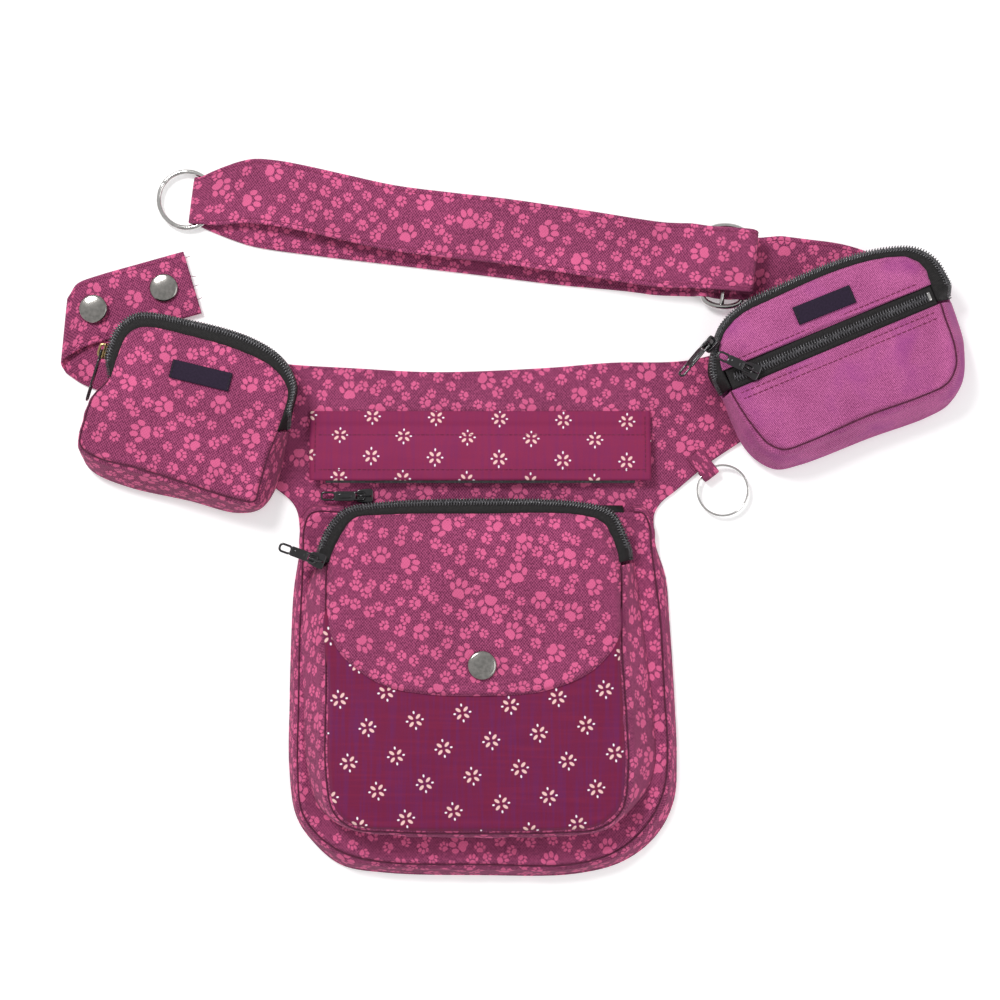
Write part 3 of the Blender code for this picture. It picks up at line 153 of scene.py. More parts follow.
# Compartments: seam u, seam v, foot u, foot v, from the left end of the zip round the bottom
REAR_ROWS = (
    (-360, 0, -360, 17), (-445, -4, -450, 13), (-463, -45, -473, -42), (-465, -102, -475, -102),
    (-469, -214, -489, -216), (-474, -352, -496, -354), (-476, -527, -500, -531), (-478, -700, -502, -705),
    (-466, -824, -484, -840), (-425, -887, -440, -911), (-355, -937, -368, -974), (-252, -961, -254, -996),
    (-8, -967, -8, -1003), (237, -966, 238, -998), (348, -928, 365, -963), (425, -854, 449, -892),
    (466, -764, 493, -796), (476, -657, 500, -677), (469, -516, 496, -531), (458, -297, 482, -299),
    (446, -187, 471, -180), (435, -96, 447, -94), (432, -45, 443, -42), (415, -4, 420, 13),
    (390, 0, 390, 17), (10, 0, 10, 17),
)
REAR_WALL_ROWS = 25
FRONT_ROWS = (
    (-421, -193, -470, -214), (-425, -292, -493, -332), (-423, -555, -493, -594), (-423, -789, -482, -795),
    (-401, -912, -445, -914), (-348, -959, -374, -967), (-215, -973, -220, -994), (7, -976, 6, -997),
    (229, -973, 231, -994), (340, -961, 366, -973), (401, -909, 451, -896), (419, -804, 496, -807),
    (415, -628, 496, -638), (403, -438, 473, -430), (403, -292, 457, -291), (401, -193, 440, -187),
    (384, -123, 420, -113), (351, -64, 381, -36), (284, -42, 302, -9), (7, -38, 6, 3),
    (-271, -42, -287, -9), (-348, -53, -374, -27), (-390, -111, -428, -89),
)
FRONT_WALL_ROWS = 16
# Sewn-on layers of the front: u, v
POCKET_ROWS = (
    (-415, -309), (-415, -554), (-415, -787), (-394, -903), (-344, -949), (-215, -964), (7, -967),
    (228, -964), (335, -951), (393, -900), (410, -802), (406, -627), (396, -437), (396, -309), (200, -313),
    (-215, -313),
)
FLAP_ROWS = (
    (-382, -124), (-410, -195), (-418, -291), (-415, -372), (-381, -451), (-269, -538), (-148, -566),
    (32, -571), (184, -558), (322, -497), (392, -407), (397, -291), (390, -192), (370, -127), (338, -73),
    (280, -50), (7, -45), (-269, -50), (-340, -62),
)
FLAP_SNAP = (0.013, -0.482)
# The cover strip: v, and its height as a share of its lift; the pleat is the low row near the top
COVER_ROWS = ((0.50, 0.04), (0.36, 0.16), (0.26, 0.12), (0.10, 0.62), (-0.20, 0.95), (-0.50, 1.00))
LEFT_ROWS = (
    (-391, 109, -412, 97), (-443, -13, -451, -17), (-458, -168, -471, -176), (-448, -321, -467, -359),
    (-360, -369, -408, -456), (-139, -378, -205, -509), (114, -399, 108, -504), (328, -419, 352, -507),
    (435, -405, 461, -442), (442, -315, 503, -315), (447, -132, 505, -85), (466, 30, 503, 54),
    (475, 164, 499, 193), (469, 300, 492, 341), (384, 406, 402, 480), (224, 463, 235, 559),
    (-44, 485, -68, 576), (-295, 467, -343, 536), (-354, 400, -414, 427), (-378, 251, -430, 269),
)
LEFT_WALL_ROWS = 12
LEFT_LABEL = (0.046, 0.262)
RIGHT_ROWS = (
    (-516, 66, -548, 43), (-502, -66, -549, -110), (-474, -218, -539, -275), (-448, -311, -508, -385),
    (-392, -383, -443, -483), (-289, -396, -329, -515), (25, -383, 15, -521), (288, -394, 297, -533),
    (405, -378, 414, -503), (469, -301, 509, -401), (497, -180, 568, -220), (504, 7, 586, -57),
    (509, 89, 590, 74), (503, 216, 589, 201), (502, 328, 568, 346), (452, 421, 505, 452),
    (329, 480, 374, 523), (122, 510, 158, 563), (-175, 497, -150, 553), (-351, 475, -330, 530),
    (-448, 409, -445, 459), (-498, 325, -512, 349), (-520, 199, -569, 207),
)
RIGHT_WALL_ROWS = 13      # the lower panel and its gusset
RIGHT_UPPER_ROWS = (13, 22)   # first and last row of the panel over the front zip
RIGHT_LABEL = (0.013, 0.340)

# Strap runs: u, v, the angle of the cross line in the frame in degrees, and the height as a share of
# the run's rise
TAIL_LOWER = (
    (-0.030, 0.144, 80.0, 1.0), (-0.231, 0.185, 80.0, 1.0), (-0.390, 0.220, 82.0, 0.4),
    (-0.542, 0.245, 88.0, 0.0), (-0.657, 0.287, 96.0, 0.0),
)
TAIL_UPPER = (
    (-0.680, 0.372, 99.0, 1.0), (-0.636, 0.450, 108.0, 0.75), (-0.530, 0.539, 117.0, 0.08),
    (-0.367, 0.655, 120.0, 0.0), (-0.135, 0.817, 120.0, 0.0),
)
TAIL_CAPS = ((-0.575, 0.512), (-0.264, 0.741))
BELT_LOWER = (
    (-0.297, 0.076, 90.0, 1.0), (-0.149, 0.076, 90.0, 1.0), (0.148, 0.076, 87.0, 1.0),
    (0.371, 0.086, 76.0, 1.0),
)
BELT_UPPER = (
    (0.385, 0.170, 73.0, 1.0), (0.310, 0.305, 66.0, 1.0), (0.165, 0.473, 60.0, 1.0),
    (0.006, 0.602, 60.0, 0.35), (-0.085, 0.672, 60.0, 0.0),
)
# Long strap: u from the tri-glide to the ring, v across as a share of the strap, the height as a share
# of the arch's rise, and the strap's width as a share
LOOP_LOWER = (
    (0.120, 0.064, 0.0, 1.0), (0.180, 0.062, 0.0, 1.0), (0.299, 0.093, 0.0, 1.0), (0.442, 0.094, 0.0, 1.0),
    (0.619, 0.104, 0.0, 1.0), (0.789, 0.109, 0.0, 1.0), (0.873, 0.083, 0.0, 1.0), (0.935, 0.030, 0.0, 0.88),
    (0.981, 0.000, 0.0, 0.72),
)
LOOP_UPPER = (
    (0.981, 0.000, 0.0, 0.72), (0.935, -0.120, 0.05, 0.92), (0.884, -0.240, 0.30, 1.0),
    (0.791, -0.228, 0.60, 1.0), (0.621, -0.088, 0.90, 1.0), (0.419, -0.093, 1.0, 1.0),
    (0.243, -0.060, 1.0, 1.0), (0.124, -0.033, 0.95, 1.0), (0.072, -0.070, 0.95, 1.0),
)


def curve_through(rows: Sequence, steps: int, closed: bool, columns: int = 2) -> Array:
    """Points on a centripetal Catmull-Rom curve.

    Each span between two rows blends the four rows round it, with knots spaced by the square root of
    the distances, so that the curve passes through every row and has no loops.

    Args:
        rows: The rows, whose first columns are their place.
        steps: Points to each span.
        closed: Whether the last row joins the first.
        columns: How many columns the distances are measured in.

    Returns:
        The points, with as many columns as the rows.
    """
    rows = np.asarray(rows, float)
    if closed:
        line = np.vstack([rows[-1:], rows, rows[:2]])
    else:
        line = np.vstack([2 * rows[:1] - rows[1:2], rows, 2 * rows[-1:] - rows[-2:-1]])
    spans = len(line) - 3
    p = np.stack([line[i : i + spans] for i in range(4)])
    knots = np.sqrt(np.linalg.norm(np.diff(p[..., :columns], axis=0), axis=2)) + 1e-9
    t = np.concatenate([np.zeros((1, spans)), np.cumsum(knots, axis=0)])
    s = (t[1][:, None] + (t[2] - t[1])[:, None] * np.arange(steps) / steps)[..., None]
    t, p = t[:, :, None, None], p[:, :, None, :]
    a = [((t[i + 1] - s) * p[i] + (s - t[i]) * p[i + 1]) / (t[i + 1] - t[i]) for i in range(3)]
    b = [((t[i + 2] - s) * a[i] + (s - t[i]) * a[i + 1]) / (t[i + 2] - t[i]) for i in range(2)]
    curve = (((t[2] - s) * b[0] + (s - t[1]) * b[1]) / (t[2] - t[1])).reshape(-1, rows.shape[1])
    return curve if closed else np.vstack([curve, rows[-1:]])


def outline(place: Frame, rows: Sequence) -> Array:
    """A closed outline in world metres, each column pair of a table placed in the frame."""
    rows = np.asarray(rows, float) / 1000
    pairs = [place.place(rows[:, i], rows[:, i + 1]) for i in range(0, rows.shape[1], 2)]
    return curve_through(np.hstack(pairs), SPAN_STEPS, True)


def lengths(line: Array) -> Array:
    """The distance along a line of points up to each point."""
    steps = np.linalg.norm(np.diff(line, axis=0), axis=1)
    return np.concatenate([[0.0], np.cumsum(steps)])


def evenly(line: Array, pitch: float) -> tuple:
    """Places along a line at an even pitch.

    Args:
        line: Points of the line, in three columns or more.
        pitch: Distance between the places.

    Returns:
        The places with every column of the line, and the unit tangents there.
    """
    far = lengths(line[:, :3])
    at = np.arange(0.5 * pitch, far[-1] - 0.3 * pitch, pitch)
    places, ahead, behind = (
        np.stack([np.interp(at + shift * pitch, far, column) for column in line.T], axis=1)
        for shift in (0.0, 0.2, -0.2))
    return places, unit((ahead - behind)[:, :3])


def unit(vectors: Array) -> Array:
    """The vectors at unit length."""
    return vectors / np.maximum(np.linalg.norm(vectors, axis=-1, keepdims=True), 1e-12)


def lifted(flat: Array, z: Array) -> Array:
    """Points from their x and y and their heights."""
    return np.concatenate([flat, z[..., None]], axis=-1)


def swell(x: Array, y: Array, pitch: float, seed: int) -> Array:
    """A smooth uneven field from -1 to 1: the mean of seven sine waves in scattered directions."""
    random = np.random.default_rng(seed)
    total = np.zeros(np.shape(x))
    for _ in range(7):
        angle, phase = random.uniform(0, 2 * math.pi), random.uniform(0, 6.28)
        turn = 2 * math.pi / (pitch * random.uniform(0.7, 1.6))
        total += np.sin((x * math.cos(angle) + y * math.sin(angle)) * turn + phase)
    return total / 4.0


def creases(x: Array, y: Array, table: Sequence) -> Array:
    """Heights of pressed folds: along each segment a Gaussian ridge that fades past the ends.

    Args:
        x: World x of the points.
        y: World y of the points.
        table: Rows of x, y, x, y of the ends, half width and height, in millimetres.

    Returns:
        The sum of the folds' heights, in metres.
    """
    total = np.zeros(np.shape(x))
    for x0, y0, x1, y1, width, height in table:
        way = np.array([x1 - x0, y1 - y0]) * MM
        long = np.linalg.norm(way)
        along = ((x - x0 * MM) * way[0] + (y - y0 * MM) * way[1]) / long**2
        across = ((x - x0 * MM) * way[1] - (y - y0 * MM) * way[0]) / long
        fade = np.exp(-np.clip(np.abs(along - 0.5) - 0.35, 0, None) ** 2 / 0.02)
        total += height * MM * fade * np.exp(-((across / (width * MM)) ** 2))
    return total


def add_object(name: str, data: bpy.types.ID) -> bpy.types.Object:
    """A new object at the origin, in the scene."""
    made = bpy.data.objects.new(name, data)
    bpy.context.scene.collection.objects.link(made)
    return made


class Draft:
    """The points, faces and cloth coordinates of one piece, gathered patch by patch."""

    def __init__(self) -> None:
        """Start empty."""
        self.points: list = []
        self.faces: list = []
        self.maps: list = []
        self.count = 0

    def add(self, points: Array) -> Array:
        """Take points in and give their numbers, in the shape that they came in."""
        self.points.append(points.reshape(-1, 3))
        numbers = np.arange(self.count, self.count + self.points[-1].shape[0])
        self.count += len(numbers)
        return numbers.reshape(points.shape[:-1])

    def patch(self, numbers: Array, uv: Array, wrap: bool = False) -> None:
        """Quads over a grid of point numbers, which face up where rows go inward and columns go round.

        Args:
            numbers: Point numbers, rows by columns.
            uv: Cloth coordinates of the grid, rows by columns by two.
            wrap: Whether the last column joins the first.
        """
        if wrap:
            numbers = np.concatenate([numbers, numbers[:, :1]], axis=1)
            if uv.shape[1] < numbers.shape[1]:
                uv = np.concatenate([uv, uv[:, :1]], axis=1)
        corners = ((slice(None, -1), slice(None, -1)), (slice(None, -1), slice(1, None)),
                   (slice(1, None), slice(1, None)), (slice(1, None), slice(None, -1)))
        self.faces.append(np.stack([numbers[c] for c in corners], axis=-1).reshape(-1, 4))
        self.maps.append(np.stack([uv[c] for c in corners], axis=-2).reshape(-1, 4, 2))

    def fan(self, ring: Array, uv: Array, pole: int, pole_uv: Array) -> None:
        """Triangles from a closed ring of point numbers to a pole."""
        after, uv_after = np.roll(ring, -1), np.roll(uv, -1, axis=0)
        tips = np.full(len(ring), pole)
        tip_uv = np.broadcast_to(pole_uv, uv.shape)
        self.faces.append(np.stack([ring, after, tips], axis=-1))
        self.maps.append(np.stack([uv, uv_after, tip_uv], axis=1))

    def close(self, numbers: Array, uv: Array, poles: Sequence, pole_uv: Sequence) -> None:
        """Fans over the first and last rows of a grid, each to its own pole."""
        for row, order in ((0, slice(None, None, -1)), (-1, slice(None))):
            pole = self.add(np.array([poles[row]]))[0]
            self.fan(numbers[row][order], uv[row][order], pole, pole_uv[row])

    def loose(self, points: Array, faces: Array) -> None:
        """Take in faces whose numbers count from the points that come with them."""
        numbers = self.add(points)
        self.faces.append(faces + numbers.flat[0])
        self.maps.append(points[:, :2][faces])

    def outward(self, start: int) -> None:
        """Turn the closed solid's faces added since a count outward, by the sign of its volume."""
        points = np.concatenate(self.points)
        volume = 0.0
        for faces in self.faces[start:]:
            corners = points[faces] - points[faces[0, 0]]
            for last in range(2, faces.shape[1]):
                triple = np.cross(corners[:, last - 1], corners[:, last])
                volume += np.sum(corners[:, 0] * triple)
        if volume < 0:
            self.faces[start:] = [faces[:, ::-1] for faces in self.faces[start:]]
            self.maps[start:] = [uv[:, ::-1] for uv in self.maps[start:]]

    def build(self, name: str, look: bpy.types.Material) -> bpy.types.Object:
        """Make the mesh object at the origin, shaded smooth.

        Args:
            name: The piece's name.
            look: Its material.

        Returns:
            The object, linked to the scene.
        """
        mesh = bpy.data.meshes.new(name)
        points = np.concatenate(self.points)
        sizes = np.concatenate([np.full(len(f), f.shape[1]) for f in self.faces])
        corners = np.concatenate([f.reshape(-1) for f in self.faces])
        uv = np.concatenate([m.reshape(-1, 2) for m in self.maps])
        mesh.vertices.add(len(points))
        mesh.vertices.foreach_set("co", points.ravel())
        mesh.loops.add(len(corners))
        mesh.loops.foreach_set("vertex_index", corners.astype(np.int32))
        mesh.polygons.add(len(sizes))
        mesh.polygons.foreach_set("loop_start", np.concatenate([[0], np.cumsum(sizes)[:-1]]).astype(np.int32))
        mesh.polygons.foreach_set("use_smooth", np.full(len(sizes), True))
        mesh.update(calc_edges=True)
        layer = mesh.uv_layers.new(name=CLOTH_MAP)
        layer.data.foreach_set("uv", uv.ravel())
        mesh.validate()
        mesh.materials.append(look)
        return add_object(name, mesh)


def thicken(piece: bpy.types.Object, thickness: float) -> None:
    """Give an open cloth surface its wall, inward, with a Solidify modifier."""
    wall = piece.modifiers.new("wall", "SOLIDIFY")
    wall.thickness = thickness
    wall.offset = -1.0


def tube(path: Array, section: Array, up: Array, closed: bool) -> tuple:
    """A section carried along a path.

    At each point of the path the section's first column goes along side = tangent x up, and its
    second along the normal that completes the frame.

    Args:
        path: Points, n by 3.
        section: Offsets, m by 2, or n by m by 2 where it changes.
        up: Rough up direction, one or n of them.
        closed: Whether the path's end joins its start.

    Returns:
        The grid of points, n by m by 3, and its cloth coordinates.
    """
    if closed:
        tangent = unit(np.roll(path, -1, axis=0) - np.roll(path, 1, axis=0))
    else:
        tangent = unit(np.gradient(path, axis=0))
    side = unit(np.cross(tangent, np.broadcast_to(up, path.shape)))
    normal = np.cross(side, tangent)
    section = np.broadcast_to(section, (len(path), *section.shape[-2:]))
    points = path[:, None] + side[:, None] * section[..., :1] + normal[:, None] * section[..., 1:]
    far = lengths(path)
    around = np.linspace(0, 0.01, section.shape[1])
    uv = np.stack(np.meshgrid(far, around, indexing="ij"), axis=-1)
    return points, uv


def circle(radius: float, sides: int, flat: float = 1.0) -> Array:
    """A round section, flattened in its second direction by a share."""
    angle = np.arange(sides) * 2 * math.pi / sides
    return np.stack([radius * np.cos(angle), radius * flat * np.sin(angle)], axis=-1)


def tube_piece(draft: Draft, path: Array, section: Array, up: Array, closed: bool) -> None:
    """Add a tube to a draft, with fans over its ends when it is open."""
    points, uv = tube(path, section, up, closed)
    start = len(draft.faces)
    numbers = draft.add(points)
    if closed:
        numbers = np.concatenate([numbers, numbers[:1]])
        uv = np.concatenate([uv, uv[:1]])
    draft.patch(numbers[::-1], uv[::-1], wrap=True)
    if not closed:
        for end, order in ((0, slice(None, None, -1)), (-1, slice(None))):
            pole = draft.add(points[end].mean(axis=0)[None])[0]
            draft.fan(numbers[end][order][::-1], uv[end][order], pole, uv[end][0])
    draft.outward(start)


def bead(length: float, width: float, height: float, around: int = 6, along: int = 4) -> tuple:
    """A closed rounded bar along x: rings whose radius follows the sine of the way along.

    Returns:
        Its points, and its faces as triangles.
    """
    t = np.linspace(0.12, 0.88, along)
    radius = np.sin(math.pi * t) ** 0.45
    angle = np.arange(around) * 2 * math.pi / around
    x = np.repeat((-np.cos(math.pi * t) * length / 2)[:, None], around, axis=1)
    y = radius[:, None] * np.cos(angle) * width / 2
    z = radius[:, None] * np.sin(angle) * height / 2
    points = np.concatenate([np.stack([x, y, z], axis=-1).reshape(-1, 3),
                             [[-length / 2, 0, 0], [length / 2, 0, 0]]])
    i, j = np.meshgrid(np.arange(along - 1), np.arange(around), indexing="ij")
    a, b = i * around + j, i * around + (j + 1) % around
    sides = np.stack([a, a + around, b + around, a, b + around, b], axis=-1).reshape(-1, 3)
    k = np.arange(around)
    after = (k + 1) % around
    first = np.stack([np.full(around, along * around), k, after], axis=-1)
    last = (along - 1) * around
    final = np.stack([np.full(around, along * around + 1), last + after, last + k], axis=-1)
    return points, np.concatenate([sides, first, final])


def repeat(draft: Draft, template: tuple, origins: Array, axes: Array) -> None:
    """Put a small template at many places: each point is the origin plus its axes times the point.

    Args:
        draft: Where the copies go.
        template: Points and triangles.
        origins: k by 3.
        axes: k by 3 by 3, each row the direction of the template's x, y and z.
    """
    points, faces = template
    placed = origins[:, None] + np.einsum("pi,kij->kpj", points, axes)
    count = len(points)
    offsets = np.arange(len(origins))[:, None, None] * count
    draft.loose(placed.reshape(-1, 3), (faces[None] + offsets).reshape(-1, 3))


def axes_along(tangent: Array, up: Array) -> Array:
    """Axes whose x is the tangent and whose z is as near up as it can be."""
    y = unit(np.cross(np.broadcast_to(up, tangent.shape), tangent))
    return np.stack([tangent, y, np.cross(tangent, y)], axis=1)


class Dome:
    """A filled front: the plane of its seam and a crown that falls away to the seam."""

    def __init__(self, ring: Array, plane: Callable[[Array], Array], crown: float) -> None:
        """Measure the outline's reach round its centre."""
        self.centre = ring.mean(axis=0)
        arms = ring - self.centre
        angles = np.arctan2(arms[:, 1], arms[:, 0])
        order = np.argsort(angles)
        self.angles, self.reach = angles[order], np.linalg.norm(arms, axis=1)[order]
        self.plane, self.crown = plane, crown

    def share(self, x: Array, y: Array) -> Array:
        """How far out a point is, from 0 in the middle to 1 on the seam."""
        dx, dy = x - self.centre[0], y - self.centre[1]
        reach = np.interp(np.arctan2(dy, dx), self.angles, self.reach, period=2 * math.pi)
        return np.minimum(np.hypot(dx, dy) / reach, 1.0)

    def height(self, x: Array, y: Array) -> Array:
        """Height of the cloth's outer face: plane + crown * (1 - share to a power)."""
        return self.plane(y) + self.crown * (1.0 - self.share(x, y) ** CROWN_POWER)


def ramp(place: Frame, low: float, high: float) -> Callable[[Array], Array]:
    """A plane that rises from low at the top of a frame to high at its bottom."""
    return lambda y: low + (high - low) * (place.y - y) / place.height


REAR_PLANE = ramp(BAG, REAR_FOOT + REAR_DEPTH * REAR_TOP_SHARE, REAR_FOOT + REAR_DEPTH)
FRONT_DROP = ramp(FRONT, FRONT_DEPTH * FRONT_TOP_SHARE, FRONT_DEPTH)


def front_plane(y: Array) -> Array:
    """Height of the front compartment's seam over the floor."""
    return REAR_PLANE(y) + GAP + FRONT_DROP(y)


def rgb(red: float, green: float, blue: float) -> tuple:
    """A linear colour from values of 0 to 255 as a screen shows them."""
    parts = np.array([red, green, blue]) / 255
    linear = np.where(parts <= 0.04045, parts / 12.92, ((parts + 0.055) / 1.055) ** 2.4)
    return (*linear.tolist(), 1.0)


class Look:
    """A material under construction: a Principled shader and short names for the nodes that feed it."""

    def __init__(self, name: str, roughness: float, metallic: float = 0.0) -> None:
        """Make the material with its plain values."""
        self.material = bpy.data.materials.new(name)
        self.material.use_nodes = True
        self.nodes, self.links = self.material.node_tree.nodes, self.material.node_tree.links
        self.shader = self.nodes["Principled BSDF"]
        self.shader.inputs["Roughness"].default_value = roughness
        self.shader.inputs["Metallic"].default_value = metallic

    def put(self, kind: str, inputs: dict, **settings: object) -> bpy.types.Node:
        """Add a node, with its settings and its inputs as values or sockets."""
        node = self.nodes.new(kind)
        for key, value in settings.items():
            setattr(node, key, value)
        for key, value in inputs.items():
            self.feed(node.inputs[key], value)
        return node

    def feed(self, socket: Socket, value: object) -> None:
        """Set a socket, or link another socket into it."""
        if isinstance(value, bpy.types.NodeSocket):
            self.links.new(value, socket)
        else:
            socket.default_value = value

    def sum(self, operation: str, *values: object, clamp: bool = False) -> Socket:
        """A Math node's result."""
        node = self.put("ShaderNodeMath", dict(enumerate(values)), operation=operation, use_clamp=clamp)
        return node.outputs[0]

    def vector(self, operation: str, *values: object) -> Socket:
        """A Vector Math node's vector."""
        return self.put("ShaderNodeVectorMath", dict(enumerate(values)), operation=operation).outputs[0]

    def long(self, vector: Socket) -> Socket:
        """The length of a vector."""
        return self.put("ShaderNodeVectorMath", {0: vector}, operation="LENGTH").outputs["Value"]

    def scaled(self, vector: Socket, by: object) -> Socket:
        """A vector times a number."""
        return self.put("ShaderNodeVectorMath", {0: vector, "Scale": by}, operation="SCALE").outputs[0]

    def spin(self, vector: Socket, angle: object) -> Socket:
        """A vector turned round z."""
        inputs = {"Vector": vector, "Angle": angle}
        return self.put("ShaderNodeVectorRotate", inputs, rotation_type="Z_AXIS").outputs[0]

    def paint(self, colour: Socket) -> None:
        """Feed the shader's base colour."""
        self.feed(self.shader.inputs["Base Color"], colour)

    def split(self, vector: Socket) -> tuple:
        """A vector's three parts."""
        return tuple(self.put("ShaderNodeSeparateXYZ", {0: vector}).outputs)

    def join(self, x: object, y: object, z: object = 0.0) -> Socket:
        """A vector from three parts."""
        return self.put("ShaderNodeCombineXYZ", {0: x, 1: y, 2: z}).outputs[0]

    def mix(self, share: object, first: object, second: object) -> Socket:
        """A mix of two colours."""
        node = self.put("ShaderNodeMix", {0: share, 6: first, 7: second}, data_type="RGBA")
        return node.outputs[2]

    def span(self, value: object, low: float, high: float, to_low: float = 0.0,
             to_high: float = 1.0) -> Socket:
        """A value mapped from one range to another, and held inside it."""
        inputs = {0: value, 1: low, 2: high, 3: to_low, 4: to_high}
        return self.put("ShaderNodeMapRange", inputs, clamp=True).outputs[0]

    def noise(self, place: Socket, scale: float, detail: float = 2.0) -> Socket:
        """A noise texture's value."""
        return self.put("ShaderNodeTexNoise", {"Vector": place, "Scale": scale, "Detail": detail}).outputs[0]

    def cloth(self) -> Socket:
        """Cloth coordinates in millimetres."""
        return self.scaled(self.put("ShaderNodeUVMap", {}, uv_map=CLOTH_MAP).outputs[0], 1000.0)

    def object_mm(self) -> Socket:
        """Object coordinates in millimetres."""
        return self.scaled(self.put("ShaderNodeTexCoord", {}).outputs["Object"], 1000.0)

    def ellipse(self, place: Socket, x: float, y: float, wide: float, high: float,
                turn: float = 0.0) -> Socket:
        """How far out of an ellipse a place is: 1 on its edge, and less inside."""
        inputs = {"Vector": place, "Location": (x, y, 0), "Rotation": (0, 0, math.radians(turn)),
                  "Scale": (wide, high, 1)}
        return self.long(self.put("ShaderNodeMapping", inputs, vector_type="TEXTURE").outputs[0])

    def union(self, shapes: Sequence) -> Socket:
        """The least of several values."""
        result = shapes[0]
        for shape in shapes[1:]:
            result = self.sum("MINIMUM", result, shape)
        return result

    def bump(self, height: Socket, distance: float, strength: float = 1.0) -> None:
        """Feed a bump into the shader's normal."""
        inputs = {"Height": height, "Distance": distance, "Strength": strength}
        self.feed(self.shader.inputs["Normal"], self.put("ShaderNodeBump", inputs).outputs[0])

    def matt(self, sheen: float) -> None:
        """Cloth's small gloss: a low specular level and a little sheen."""
        self.shader.inputs["Specular IOR Level"].default_value = 0.22
        self.shader.inputs["Sheen Weight"].default_value = sheen

    def weave(self, place: Socket, pitch: float) -> Socket:
        """A plain weave from 0 to 1: the product of two sine waves, broken by noise."""
        x, y, _ = self.split(place)
        turn = 2 * math.pi / pitch
        waves = self.sum("MULTIPLY", self.sum("SINE", self.sum("MULTIPLY", x, turn)),
                         self.sum("SINE", self.sum("MULTIPLY", y, turn * 0.83)))
        rough = self.sum("MULTIPLY_ADD", self.noise(place, 2.2 / pitch, 1.0), 1.6, -0.8)
        return self.sum("MULTIPLY_ADD", self.sum("ADD", waves, rough), 0.5, 0.5, clamp=True)


PAW_PADS = (
    (0.0, -0.15, 0.25, 0.19, 0.0), (0.13, -0.26, 0.16, 0.13, 20.0), (-0.13, -0.26, 0.16, 0.13, -20.0),
    (-0.37, 0.06, 0.120, 0.175, 20.0), (-0.145, 0.31, 0.125, 0.185, 6.0),
    (0.145, 0.31, 0.125, 0.185, -6.0), (0.37, 0.06, 0.120, 0.175, -20.0),
)


